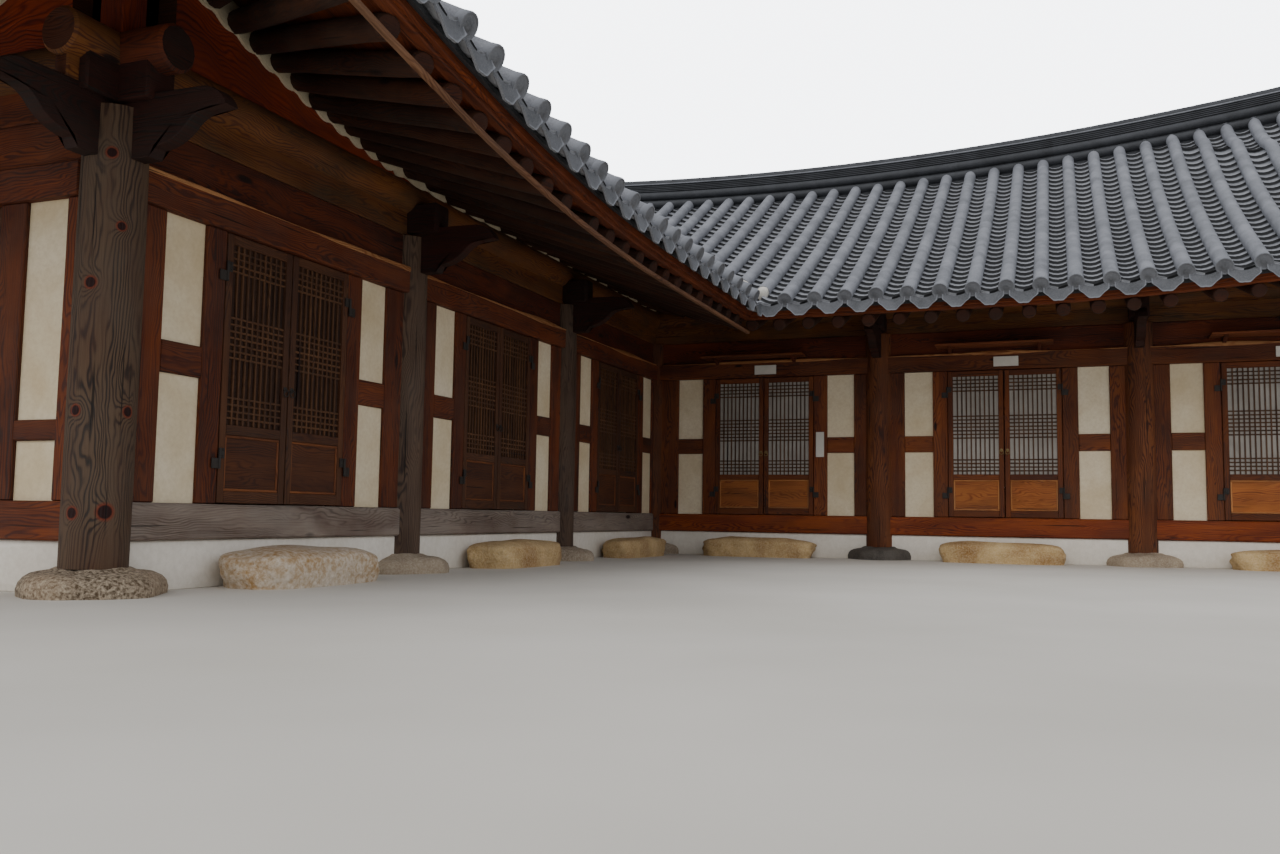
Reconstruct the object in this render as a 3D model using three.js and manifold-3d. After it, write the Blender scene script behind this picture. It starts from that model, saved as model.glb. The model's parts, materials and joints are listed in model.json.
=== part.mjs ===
// Hanok house: an L-shaped timber house of one storey under a tiled hip-and-gable roof.
// Millimetres, +Z up. The origin is at ground level under the middle of the roof's outline.
//
// Each wing is described in wing coordinates: u runs along the wing away from the inner corner
// of the courtyard, and v runs from the wing's courtyard face into the wing. The back wing has
// (x, y) = (u, v) and the left wing, its mirror image, has (x, y) = (-v, -u). Each wall is
// described in wall coordinates: s runs along the wall and w from its outer face inwards.
import * as THREE from 'three';
import { mergeVertices } from 'three/addons/utils/BufferGeometryUtils.js';
import Module from 'manifold-3d';

const wasm = await Module();
wasm.setup();

// Plan of the house
const COLUMN_SET_IN = 60;
const WING_DEPTH = 4800;
const WINGS = {
  back: {
    name: 'back_wing',
    columns: [2660, 5330, 8000],
    doors: [1338, 3995, 6665],
    stones: [[1250, 420, 225], [1300, 430, 230], [1200, 420, 215]],
  },
  left: {
    name: 'left_wing',
    columns: [2560, 5310, 8060],
    doors: [1170, 3930, 6697],
    stones: [[1250, 420, 220], [1250, 450, 225], [1350, 520, 235]],
  },
};
const INNER_COLUMN = -COLUMN_SET_IN;
const OUTER_FACE = WING_DEPTH + 2 * COLUMN_SET_IN;
const OUTER_LINE = WING_DEPTH + COLUMN_SET_IN;
const MIDDLE_LINE = OUTER_FACE / 2;
const OUTER_CORNER = -OUTER_LINE;
const GAP = 0.3;
const HOUSING = 10;
const FAR = 20000;

// Heights above the ground
const STONE_TOP = 136;
const BASE_TOP = 270;
const FLOOR_TOP = 400;
const SILL_TOP = 475;
const RAIL_Z = [1187, 1365];
const LINTEL_BOTTOM = 2075;
const LINTEL_TOP = 2260;
const HEAD_TOP = 2520;
const COLUMN_TOP = 2514;
const PLATE_TOP = 2712;
const PURLIN_AXIS = 2815;

// Sections of the timbers: their reach from the wall's face inwards
const COLUMN_RADIUS = 150;
const PURLIN_RADIUS = 125;
const ROUND_SIDES = 12;
const PLAIN_SIDES = 8;
const PIN_SIDES = 6;
const STUD_W = [0, 150];
const SILL_W = [-20, 140];
const LINTEL_W = [-35, 130];
const HEAD_W = [20, 150];
const PLATE_W = [20, 110];
const PURLIN_OVERHANG = 330;
const STONE_RADIUS = 245;
const STONE_FOOT = 0.35;
const BASE_SET_IN = 10;

// Plaster panels and the lining behind the timbers
const PANEL_FACE = 25;
const WALL_THICKNESS = 220;

// Doorways: half the opening, the jamb and the plaster panel beside it
const DOOR_HALF = 588;
const JAMB_WIDTH = 155;
const PANEL_WIDTH = 305;
const LEAF_THICKNESS = 38;
const LEAF_GAP = 6;
const MEETING_GAP = 5;
const HINGE_STANDOFF = 12;
const HINGE_RADIUS = 9;
const HINGE_PLATE = 60;
const HINGE_LEVELS = [740, 1840];
const STILE_WIDTH = 50;
const LEAF_FIELDS = [[70, 400], [460, 1530]];
const LEAF_RECESS = 12;

// Windows of the outer walls and the end walls
const STUD_BESIDE = 255;
const WINDOW_HALF = 460;
const WINDOW_JAMB = 190;
const WINDOW_BOTTOM = 899;
const APRON_DEPTH = 110;
const SASH_W = [30, 66];

// Bracket arm and beam end at each column
const ARM_HALF = 45;
const ARM_BOTTOM = 2215;
const ARM_TOP = 2530;
const ARM_REACH = 470;
const BEAM_END_HALF = 95;
const BEAM_END_W = [-290, 20];
const BEAM_END_Z = [2540, 2760];

// Roof
const EAVE_OUT = 1760;
const DECK_OUT = 1600;
const RAFTER_OUT = 1560;
const TILE_TOP = 2600;
const TILE_BOTTOM = 2460;
const RIDGE_SURFACE = 4960;
const ROOF_SAG = 60;
const HALF_SPAN = EAVE_OUT + MIDDLE_LINE;
const RIDGE_HALF = 170;
const RIDGE_LOW_POINT = 1200;
const RIDGE_CURVE = 1.26e-5;
const RIDGE_HEIGHT = 480;
const RIDGE_TAPER = 0.7;
const MITRE_GAP = 0.25;
const CORNER_RISE = 670;
const CORNER_FLARE = 160;
const CORNER_REACH = 5920;
const CORNER_POWER = 2.2;
const GABLE_SET_IN = 400;
const GABLE_WALL = 240;
const RAFTER_AXIS = 3003;
const RAFTER_RADIUS = 70;
const RAFTER_SIDES = 5;
const RAFTER_PITCH = 312;
const RAFTER_END = 150;
const RAFTER_ROW = 160;
const LOWER_SLOPE = 0.42;
const UPPER_SLOPE = 0.75;
const MIDDLE_PURLIN = 1260;
const DECK_ABOVE_AXIS = 120;
const DECK_THICKNESS = 70;
const FAN_START = 5700;
const HIP_RAFTER_RADIUS = 150;
const HIP_RAFTER_DROP = 60;
const HIP_RAFTER_TIP = 110;
const FIRST_RAFTER = 100;
const VALLEY_CLEARANCE = 100;
const HIP_CLEARANCE = 280;
const HIP_RIDGE_STEP = 184;
const VERGE_WIDTH = 260;
const HIP_RIDGE_HEIGHT = 235;
const VERGE_RIDGE_HEIGHT = 250;
const BARGEBOARD = { depth: 280, thickness: 50 };
const GABLE_PANEL = 60;

const FINISHES = {
  timber: { color: 0x7a4022, roughness: 0.7 },
  weathered: { color: 0x6b584a, roughness: 0.8 },
  plaster: { color: 0xd9cfb4, roughness: 0.9 },
  lime: { color: 0xd8d6cf, roughness: 0.9 },
  boulder: { color: 0xb39b78, roughness: 0.85 },
  tile: { color: 0x4a4c50, roughness: 0.75 },
  paper: { color: 0xb08a4c, roughness: 0.6 },
};

const house = new THREE.Group();

// Solids, joins and cuts
function toSolid(geometry) {
  const bare = geometry.clone();
  bare.deleteAttribute('normal');
  bare.deleteAttribute('uv');
  const merged = mergeVertices(bare, 1e-3);
  return new wasm.Manifold(new wasm.Mesh({
    numProp: 3,
    vertProperties: new Float32Array(merged.attributes.position.array),
    triVerts: new Uint32Array(merged.index.array),
  }));
}

function toGeometry(solid) {
  const mesh = solid.getMesh();
  const geometry = new THREE.BufferGeometry();
  geometry.setAttribute('position', new THREE.BufferAttribute(new Float32Array(mesh.vertProperties), 3));
  geometry.setIndex(new THREE.BufferAttribute(new Uint32Array(mesh.triVerts), 1));
  return geometry;
}

function fuse(geometries, cutters = []) {
  let solid = geometries.map(toSolid).reduce((all, next) => all.add(next));
  for (const cutter of cutters) solid = solid.subtract(toSolid(cutter));
  return toGeometry(solid);
}

function box([s0, s1], [w0, w1], [z0, z1]) {
  const shape = new THREE.BoxGeometry(s1 - s0, w1 - w0, z1 - z0);
  return shape.translate((s0 + s1) / 2, (w0 + w1) / 2, (z0 + z1) / 2);
}

const grown = ([low, high]) => [low - GAP, high + GAP];
const room = ([s, w, z]) => box(grown(s), grown(w), grown(z));
const solidBox = ([s, w, z]) => box(s, w, z);

function drum(s, w, [z0, z1], radius, sides) {
  const shape = new THREE.CylinderGeometry(radius, radius, z1 - z0, sides);
  return shape.rotateX(Math.PI / 2).translate(s, w, (z0 + z1) / 2);
}

const column = (s, w, sides) => drum(s, w, [STONE_TOP + GAP, COLUMN_TOP], COLUMN_RADIUS, sides);
const columnRoom = (s, w, sides) => drum(s, w, [STONE_TOP, COLUMN_TOP + GAP], COLUMN_RADIUS + GAP, sides);

// A round purlin along s, or across it
function purlin([s0, s1]) {
  const shape = new THREE.CylinderGeometry(PURLIN_RADIUS, PURLIN_RADIUS, s1 - s0, PLAIN_SIDES);
  return shape.rotateZ(Math.PI / 2).translate((s0 + s1) / 2, COLUMN_SET_IN, PURLIN_AXIS);
}

function crossPurlin(s, [w0, w1], radius = PURLIN_RADIUS) {
  const shape = new THREE.CylinderGeometry(radius, radius, w1 - w0, PLAIN_SIDES);
  return shape.translate(s, (w0 + w1) / 2, PURLIN_AXIS);
}

// Places: a matrix may mirror, and then the faces are turned round again
function plan(a, b, c, d, tx = 0, ty = 0) {
  return new THREE.Matrix4().set(a, b, 0, tx, c, d, 0, ty, 0, 0, 1, 0, 0, 0, 0, 1);
}

const endFace = (side) => WINGS[side].columns[2] + COLUMN_SET_IN;
const WING_PLACE = { back: plan(1, 0, 0, 1), left: plan(0, -1, -1, 0) };
const WALL_PLACE = {
  court: () => plan(1, 0, 0, 1),
  outer: () => plan(1, 0, 0, -1, 0, OUTER_FACE),
  end: (side) => plan(0, -1, 1, 0, endFace(side), 0),
};

function placed(geometry, matrix) {
  const copy = geometry.clone();
  copy.deleteAttribute('normal');
  copy.deleteAttribute('uv');
  copy.applyMatrix4(matrix);
  const merged = mergeVertices(copy, 1e-3);
  if (matrix.determinant() < 0) merged.index.array.reverse();
  return merged;
}

function addMesh(name, geometry, finishName, group = house) {
  const faceted = geometry.index ? geometry.toNonIndexed() : geometry;
  faceted.computeVertexNormals();
  const material = new THREE.MeshStandardMaterial({ ...FINISHES[finishName], metalness: 0 });
  const mesh = new THREE.Mesh(faceted, material);
  mesh.name = name;
  group.add(mesh);
  return mesh;
}

function addToWing(side, wall, piece, geometry, finishName) {
  const matrix = WING_PLACE[side].clone().multiply(WALL_PLACE[wall](side));
  return addMesh(`${WINGS[side].name}_${piece}`, placed(geometry, matrix), finishName);
}

// Timbers of the wall strip between two doorways, as boxes: studs, jambs and rails
const span = (a, b) => [Math.min(a, b), Math.max(a, b)];

function stripTimbers(side, index) {
  const { columns, doors } = WINGS[side];
  const end = index === 0 ? 0 : columns[index - 1];
  const high = [SILL_TOP + GAP, LINTEL_BOTTOM - GAP];
  const timbers = [];
  for (const [door, way] of [[doors[index - 1], 1], [doors[index], -1]]) {
    if (door === undefined) continue;
    const inner = door + way * DOOR_HALF;
    const jamb = inner + way * JAMB_WIDTH;
    const stud = jamb + way * PANEL_WIDTH;
    timbers.push([span(inner, jamb), STUD_W, high]);
    timbers.push([span(stud, end), STUD_W, high]);
    timbers.push([span(inner + way * HOUSING, end), STUD_W, RAIL_Z]);
  }
  return timbers;
}

// Room in a column for the long beams housed in it, and for the arms that cross it
const beamRooms = (start) => [
  box([start - GAP, FAR], grown(SILL_W), [BASE_TOP, SILL_TOP + GAP]),
  box([start - GAP, FAR], grown(LINTEL_W), [LINTEL_BOTTOM - GAP, LINTEL_TOP + GAP]),
  box([start - GAP, FAR], grown(HEAD_W), [LINTEL_TOP - HOUSING, FAR]),
];
const armRoom = (s) => box([s - ARM_HALF - GAP, s + ARM_HALF + GAP], [-FAR, COLUMN_SET_IN + GAP], [ARM_BOTTOM - GAP, FAR]);
const endArmRoom = (s) => box(
  [s - GAP, FAR],
  [COLUMN_SET_IN - ARM_HALF - GAP, COLUMN_SET_IN + ARM_HALF + GAP],
  [ARM_BOTTOM - GAP, FAR],
);

// The fixed half of each hinge: a pin barrel on a plate on the jamb's face
function pintles(edge, way) {
  return HINGE_LEVELS.flatMap((level) => {
    const z = [level - HINGE_PLATE - GAP, level - GAP];
    return [
      drum(edge, -HINGE_STANDOFF, z, HINGE_RADIUS, PIN_SIDES),
      box(span(edge, edge + way * HINGE_PLATE), [-HINGE_STANDOFF, 2], z),
    ];
  });
}

function stripFrame(side, index) {
  const { columns, doors } = WINGS[side];
  const at = [INNER_COLUMN, ...columns][index];
  const pieces = stripTimbers(side, index).map(solidBox);
  const rooms = beamRooms(INNER_COLUMN);
  if (side === 'left' && index === 0) rooms.push(columnRoom(at, COLUMN_SET_IN, ROUND_SIDES));
  else pieces.push(column(at, COLUMN_SET_IN, ROUND_SIDES));
  if (index > 0) rooms.push(armRoom(at));
  if (index === 3) rooms.push(endArmRoom(at));
  if (index > 0) pieces.push(...pintles(doors[index - 1] + DOOR_HALF, 1));
  if (index < 3) pieces.push(...pintles(doors[index] - DOOR_HALF, -1));
  return fuse(pieces, rooms);
}

// Plaster panels of a strip, joined by the lining that runs behind its column
function stripPlaster(side, index) {
  const { columns, doors } = WINGS[side];
  const at = [INNER_COLUMN, ...columns][index];
  const high = [SILL_TOP + GAP, LINTEL_BOTTOM - GAP];
  const cornerStart = side === 'back' ? -WALL_THICKNESS : GAP - STUD_W[1];
  const left = index === 0 ? cornerStart : doors[index - 1] + DOOR_HALF;
  const right = index === 3 ? endFace(side) - WALL_THICKNESS : doors[index] - DOOR_HALF;
  const pieces = [
    box([left, right], [STUD_W[1] + GAP, WALL_THICKNESS], [FLOOR_TOP + GAP, LINTEL_BOTTOM - GAP]),
    box([index === 0 ? GAP : left, right], [PANEL_FACE, STUD_W[1] + HOUSING], high),
  ];
  const rooms = stripTimbers(side, index).map(room);
  rooms.push(columnRoom(at, COLUMN_SET_IN, ROUND_SIDES));
  return fuse(pieces, rooms);
}

// The carved arm under a beam end, a beak that rises outwards: an outline of reach and height
function armOutline() {
  const outline = new THREE.Shape();
  outline.moveTo(0, ARM_BOTTOM);
  outline.lineTo(-160, ARM_BOTTOM + 15);
  outline.quadraticCurveTo(-300, 2290, -370, 2410);
  outline.quadraticCurveTo(-430, 2440, -ARM_REACH, 2405);
  outline.quadraticCurveTo(-440, 2515, -330, 2525);
  outline.lineTo(0, ARM_TOP);
  return outline;
}

const ACROSS_W = new THREE.Matrix4().set(0, 0, 1, 0, 1, 0, 0, 0, 0, 1, 0, 0, 0, 0, 0, 1);

const beamEnd = () => box([-BEAM_END_HALF, BEAM_END_HALF], BEAM_END_W, BEAM_END_Z);

function armAt(s, w, angle = 0) {
  const settings = { depth: 2 * ARM_HALF, bevelEnabled: false, curveSegments: 2 };
  const arm = new THREE.ExtrudeGeometry(armOutline(), settings).translate(0, 0, -ARM_HALF);
  return [arm.applyMatrix4(ACROSS_W), beamEnd()].map((piece) => piece.rotateZ(angle).translate(s, w, 0));
}

// Lintel, head beam, wall plate and purlin of a wall, with the arms and beam ends at its columns
function longBeams({ low, top, arms = [], ends = [], beamEnds = [] }) {
  const beams = [
    box(low, LINTEL_W, [LINTEL_BOTTOM, LINTEL_TOP]),
    box(low, HEAD_W, [LINTEL_TOP - HOUSING, HEAD_TOP]),
    box([top[0] + 30, top[1] - 30], PLATE_W, [HEAD_TOP - HOUSING / 2, PLATE_TOP]),
    purlin(top),
  ];
  for (const s of arms) beams.push(...armAt(s, COLUMN_SET_IN));
  for (const s of beamEnds) beams.push(beamEnd().translate(s, COLUMN_SET_IN, 0));
  for (const [s, angle] of ends) {
    beams.push(...armAt(s, COLUMN_SET_IN, angle));
    beams.push(crossPurlin(s, [-PURLIN_OVERHANG, COLUMN_SET_IN]));
  }
  return beams;
}

function addCourtWall(side) {
  const { columns } = WINGS[side];
  const last = columns[2];
  for (const index of [0, 1, 2, 3]) {
    addToWing(side, 'court', `frame_${index + 1}`, stripFrame(side, index), 'timber');
    addToWing(side, 'court', `plaster_${index + 1}`, stripPlaster(side, index), 'plaster');
  }
  const sillStart = side === 'back' ? INNER_COLUMN : COLUMN_RADIUS - COLUMN_SET_IN + 1;
  const sill = box([sillStart, last], SILL_W, [BASE_TOP + GAP, SILL_TOP]);
  addToWing(side, 'court', 'sill', sill, 'weathered');
  const beams = longBeams({
    low: [INNER_COLUMN, last],
    top: [INNER_COLUMN - PURLIN_RADIUS, endFace(side) + PURLIN_OVERHANG],
    arms: columns,
    ends: [[last, Math.PI / 2]],
  });
  addToWing(side, 'court', 'court_beams', fuse(beams, side === 'left' ? innerCornerRooms() : []), 'timber');
}

// The left wing's beams stop against the back wing's beams and column at the inner corner
function innerCornerRooms() {
  const before = (reach) => [-FAR / 2, reach + GAP];
  return [
    columnRoom(INNER_COLUMN, COLUMN_SET_IN, ROUND_SIDES),
    box(before(-LINTEL_W[0]), [-FAR, FAR], [LINTEL_BOTTOM - GAP, LINTEL_TOP + GAP]),
    box(before(-HEAD_W[0]), [-FAR, FAR], [LINTEL_TOP - HOUSING, HEAD_TOP + GAP]),
    box(before(-PLATE_W[0]), [-FAR, FAR], [HEAD_TOP - HOUSING, PLATE_TOP + GAP]),
    box([-FAR, INNER_COLUMN], [-FAR, FAR], [PLATE_TOP, FAR]),
    crossPurlin(INNER_COLUMN, [-FAR, FAR], PURLIN_RADIUS + GAP),
  ];
}

// Outer walls and end walls: columns, beams, studs and windows in one frame, and their plaster
const bayMiddles = (lines) => lines.slice(1).map((line, index) => (line + lines[index]) / 2);

function shellTimbers({ low, studs, windows }) {
  const high = [SILL_TOP - HOUSING, LINTEL_BOTTOM + HOUSING];
  const timbers = [
    [low, SILL_W, [BASE_TOP + GAP, SILL_TOP]],
    [low, STUD_W, [WINDOW_BOTTOM - APRON_DEPTH, WINDOW_BOTTOM]],
    ...studs.map((s) => [[s - STUD_BESIDE, s + STUD_BESIDE], STUD_W, high]),
  ];
  for (const window of windows) {
    for (const way of [-1, 1]) {
      const edge = window + way * WINDOW_HALF;
      timbers.push([span(edge, edge + way * WINDOW_JAMB), STUD_W, high]);
    }
  }
  return timbers.map(([s, w, z]) => [[Math.max(s[0], low[0]), Math.min(s[1], low[1])], w, z]);
}

const sash = (window) => box(
  [window - WINDOW_HALF - HOUSING, window + WINDOW_HALF + HOUSING],
  SASH_W,
  [WINDOW_BOTTOM - HOUSING, LINTEL_BOTTOM + HOUSING],
);

function addShellWall(side, wall, { columns, studs, low, top, lining, windows, ends }) {
  const timbers = shellTimbers({ low, studs, windows });
  const frame = [
    ...timbers.map(solidBox),
    ...columns.map((s) => column(s, COLUMN_SET_IN, PLAIN_SIDES)),
    ...longBeams({ low, top, ends, beamEnds: columns }),
    ...windows.map(sash),
  ];
  addToWing(side, wall, `${wall}_frame`, fuse(frame), 'timber');
  const rooms = [
    ...timbers.map(room),
    ...columns.map((s) => columnRoom(s, COLUMN_SET_IN, PLAIN_SIDES)),
    ...windows.map((s) => box(
      [s - WINDOW_HALF, s + WINDOW_HALF],
      [-FAR, FAR],
      [WINDOW_BOTTOM + GAP, LINTEL_BOTTOM - GAP],
    )),
  ];
  const plaster = [
    box(lining, [STUD_W[1] + GAP, WALL_THICKNESS], [FLOOR_TOP + GAP, LINTEL_BOTTOM - GAP]),
    box(lining, [PANEL_FACE, STUD_W[1] + HOUSING], [SILL_TOP + GAP, LINTEL_BOTTOM - GAP]),
  ];
  addToWing(side, wall, `${wall}_plaster`, fuse(plaster, rooms), 'plaster');
}

function addOuterWall(side) {
  const { columns } = WINGS[side];
  const last = columns[2];
  const start = side === 'left' ? OUTER_CORNER : OUTER_CORNER + COLUMN_RADIUS + 1;
  const lines = [OUTER_CORNER, -MIDDLE_LINE, INNER_COLUMN, ...columns];
  addShellWall(side, 'outer', {
    columns: side === 'left' ? lines : lines.slice(1),
    studs: lines,
    low: [start, last],
    top: [
      side === 'left' ? OUTER_CORNER - COLUMN_SET_IN - PURLIN_OVERHANG : OUTER_CORNER + PURLIN_RADIUS + 1,
      endFace(side) + PURLIN_OVERHANG,
    ],
    lining: [
      side === 'left' ? STUD_W[1] + GAP - OUTER_FACE : WALL_THICKNESS + GAP - OUTER_FACE,
      endFace(side) - WALL_THICKNESS,
    ],
    ends: side === 'left' ? [[last, Math.PI / 2], [OUTER_CORNER, -Math.PI / 2]] : [[last, Math.PI / 2]],
    windows: bayMiddles([INNER_COLUMN, ...columns]),
  });
}

function addEndWall(side) {
  const inset = COLUMN_SET_IN + COLUMN_RADIUS + 1;
  const low = [inset, OUTER_FACE - inset];
  const topInset = COLUMN_SET_IN + PURLIN_RADIUS + 1;
  addShellWall(side, 'end', {
    columns: [MIDDLE_LINE],
    studs: [COLUMN_SET_IN, MIDDLE_LINE, OUTER_LINE],
    low,
    top: [topInset, OUTER_FACE - topInset],
    lining: [WALL_THICKNESS + GAP, OUTER_FACE - WALL_THICKNESS - GAP],
    windows: bayMiddles([COLUMN_SET_IN, MIDDLE_LINE, OUTER_LINE]),
  });
}

// Masonry under each wing, with a foundation stone under each column, and the floor on it
function columnSpots(side) {
  const { columns } = WINGS[side];
  const spots = [...columns, INNER_COLUMN].flatMap((u) => [
    [u, COLUMN_SET_IN, ROUND_SIDES],
    [u, OUTER_LINE, PLAIN_SIDES],
  ]);
  const plain = [[columns[2], MIDDLE_LINE]];
  if (side === 'back') {
    plain.push([OUTER_CORNER, COLUMN_SET_IN], [OUTER_CORNER, MIDDLE_LINE]);
    plain.push([OUTER_CORNER, OUTER_LINE], [-MIDDLE_LINE, OUTER_LINE]);
  }
  return [...spots, ...plain.map(([u, v]) => [u, v, PLAIN_SIDES])];
}

function addBase(side) {
  const start = side === 'back' ? BASE_SET_IN - OUTER_FACE : GAP - BASE_SET_IN;
  const block = box([start, endFace(side) - BASE_SET_IN], [BASE_SET_IN, OUTER_FACE - BASE_SET_IN], [0, BASE_TOP]);
  const spots = columnSpots(side);
  const columnRooms = spots.map((spot) => columnRoom(...spot));
  // The stones at the inner corner belong to the back wing
  const isShared = ([u]) => side === 'left' && u === INNER_COLUMN;
  const stone = ([u, v], low, grow) => drum(u, v, [low, STONE_TOP + grow], STONE_RADIUS + grow, PLAIN_SIDES);
  const stones = spots.filter((spot) => !isShared(spot)).map((spot) => stone(spot, 0, 0));
  const stoneRooms = spots.filter(isShared).map((spot) => stone(spot, -1, GAP));
  addToWing(side, 'court', 'base', fuse([block, ...stones], [...columnRooms, ...stoneRooms]), 'lime');
  const edge = SILL_W[1] + GAP;
  const floorStart = side === 'back' ? edge - OUTER_FACE : -SILL_W[1];
  const floor = box([floorStart, endFace(side) - edge], [edge, OUTER_FACE - edge], [BASE_TOP + GAP, FLOOR_TOP]);
  addToWing(side, 'court', 'floor', fuse([floor], columnRooms), 'paper');
}

// Door leaf with its hinge axis at the origin: it reaches way * x along the wall, +Y inwards
function leafGeometry(way) {
  const width = [LEAF_GAP, DOOR_HALF - MEETING_GAP];
  const face = [HINGE_STANDOFF, HINGE_STANDOFF + LEAF_THICKNESS];
  const z0 = SILL_TOP + LEAF_GAP;
  const z1 = LINTEL_BOTTOM - LEAF_GAP;
  const along = ([a, b]) => span(way * a, way * b);
  const pieces = [box(along(width), face, [z0, z1])];
  const fields = LEAF_FIELDS.map(([low, high]) => box(
    along([width[0] + STILE_WIDTH, width[1] - STILE_WIDTH]),
    [0, face[0] + LEAF_RECESS],
    [z0 + low, z0 + high],
  ));
  for (const level of HINGE_LEVELS) {
    const z = [level, level + HINGE_PLATE];
    pieces.push(drum(0, 0, z, HINGE_RADIUS, PIN_SIDES));
    pieces.push(box(along([0, STILE_WIDTH - HOUSING]), [2, HINGE_STANDOFF + 2], z));
  }
  return fuse(pieces, fields);
}

function addDoors(side) {
  const { name, doors } = WINGS[side];
  doors.forEach((door, index) => {
    for (const [leaf, way] of [['inner', 1], ['outer', -1]]) {
      const hinge = door - way * DOOR_HALF;
      const mesh = addMesh(`${name}_door_${index + 1}_${leaf}`, leafGeometry(side === 'back' ? way : -way), 'timber');
      if (side === 'back') mesh.position.set(hinge, -HINGE_STANDOFF, 0);
      else mesh.position.set(HINGE_STANDOFF, -hinge, 0);
      mesh.rotation.z = side === 'back' ? 0 : Math.PI / 2;
    }
  });
}

// A stepping stone: a flattened block with soft corners on a flat foot
function steppingStone([length, depth, height], turn) {
  const shape = new THREE.SphereGeometry(1, 12, 6).rotateX(Math.PI / 2);
  const points = shape.attributes.position;
  const soften = (value, power) => Math.sign(value) * Math.abs(value) ** power;
  for (let i = 0; i < points.count; i += 1) {
    const [x, y, z] = [points.getX(i), points.getY(i), points.getZ(i)];
    const swell = 1 + 0.05 * Math.sin(3 * Math.atan2(y, x) + turn);
    points.setXYZ(
      i,
      (length / 2) * swell * soften(x, 0.6),
      (depth / 2) * swell * soften(y, 0.6),
      Math.max(0, (height * (1 + soften(z, 0.5))) / 2 * (1 + STONE_FOOT) - STONE_FOOT * height),
    );
  }
  return fuse([shape]);
}

function addSteppingStones(side) {
  WINGS[side].doors.forEach((door, index) => {
    const size = WINGS[side].stones[index];
    const stone = steppingStone(size, index + (side === 'back' ? 0 : 3));
    stone.computeBoundingBox();
    stone.translate(door, BASE_SET_IN - GAP - stone.boundingBox.max.y, 0);
    addToWing(side, 'court', `stepping_stone_${index + 1}`, stone, 'boulder');
  });
}

// Roof surfaces: d is the distance in plan from the nearest eave
const EAVE_FAR = OUTER_FACE + EAVE_OUT;
const eaveEnd = (side) => endFace(side) + EAVE_OUT;
const clamp = (value, low, high) => Math.min(high, Math.max(low, value));

// Each convex corner of the eaves, with the directions that point out of it
const eaveCorners = (side) => [
  [eaveEnd(side), -EAVE_OUT, 1, -1],
  [eaveEnd(side), EAVE_FAR, 1, 1],
  [-EAVE_FAR, EAVE_FAR, -1, 1],
];
const cornerPull = (distance) => Math.max(0, 1 - distance / CORNER_REACH) ** CORNER_POWER;

function cornerLift(side, u, v) {
  return eaveCorners(side).reduce((sum, [cu, cv]) => (
    sum + CORNER_RISE * cornerPull(Math.max(Math.abs(u - cu), Math.abs(v - cv)))
  ), 0);
}

// The eaves also sweep outwards in plan towards each corner
function flared(side, u, v) {
  const fade = (distance) => Math.max(0, 1 - distance / (EAVE_OUT + GABLE_SET_IN));
  let [du, dv] = [0, 0];
  for (const [cu, cv, su, sv] of eaveCorners(side)) {
    du += su * CORNER_FLARE * cornerPull(Math.abs(v - cv)) * fade(Math.abs(u - cu));
    dv += sv * CORNER_FLARE * cornerPull(Math.abs(u - cu)) * fade(Math.abs(v - cv));
  }
  return [u + du, v + dv];
}

// Top of the tiles: a slightly hollow slope, raised at the corners and towards the ridge's ends
function tileTop(side, u, v, d) {
  const t = d / HALF_SPAN;
  const along = clamp(u, -MIDDLE_LINE, endFace(side) - GABLE_SET_IN) - RIDGE_LOW_POINT;
  return TILE_TOP + (RIDGE_SURFACE - TILE_TOP) * t - 4 * ROOF_SAG * t * (1 - t)
    + cornerLift(side, u, v) * (1 - t) + RIDGE_CURVE * along * along * t * t;
}

// Top of the rafter boards: a low slope to the middle purlin, then a steep one
function deckTop(side, u, v, d) {
  const inside = d - EAVE_OUT;
  const slope = LOWER_SLOPE * (Math.min(inside, MIDDLE_PURLIN) - COLUMN_SET_IN)
    + UPPER_SLOPE * Math.max(0, inside - MIDDLE_PURLIN);
  const fade = clamp(1 - (inside - COLUMN_SET_IN) / (MIDDLE_LINE - COLUMN_SET_IN), 0, 1);
  return RAFTER_AXIS + DECK_ABOVE_AXIS + slope + cornerLift(side, u, v) * fade;
}

// Under the tiles the masonry follows the boards, and beyond them it is the tiles' lower edge
function tileBottom(side, u, v, d) {
  if (d < EAVE_OUT - DECK_OUT) return TILE_BOTTOM + cornerLift(side, u, v);
  return deckTop(side, u, v, d);
}

// A grid over one wing's roof. Rows run along it at each d of both slopes, from the mitre with
// the other wing to the hip or to the gable; a skirt of rows fills the slope below the gable.
const STATIONS = [0, 0.12, 0.26, 0.5, 0.74, 0.88, 1];
const TILE_ROWS = [0, EAVE_OUT - DECK_OUT, EAVE_OUT + RAFTER_ROW];
const DECK_ROWS = TILE_ROWS.slice(1);
const MIDDLE_ROW = EAVE_OUT + MIDDLE_PURLIN + RAFTER_ROW;

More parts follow.
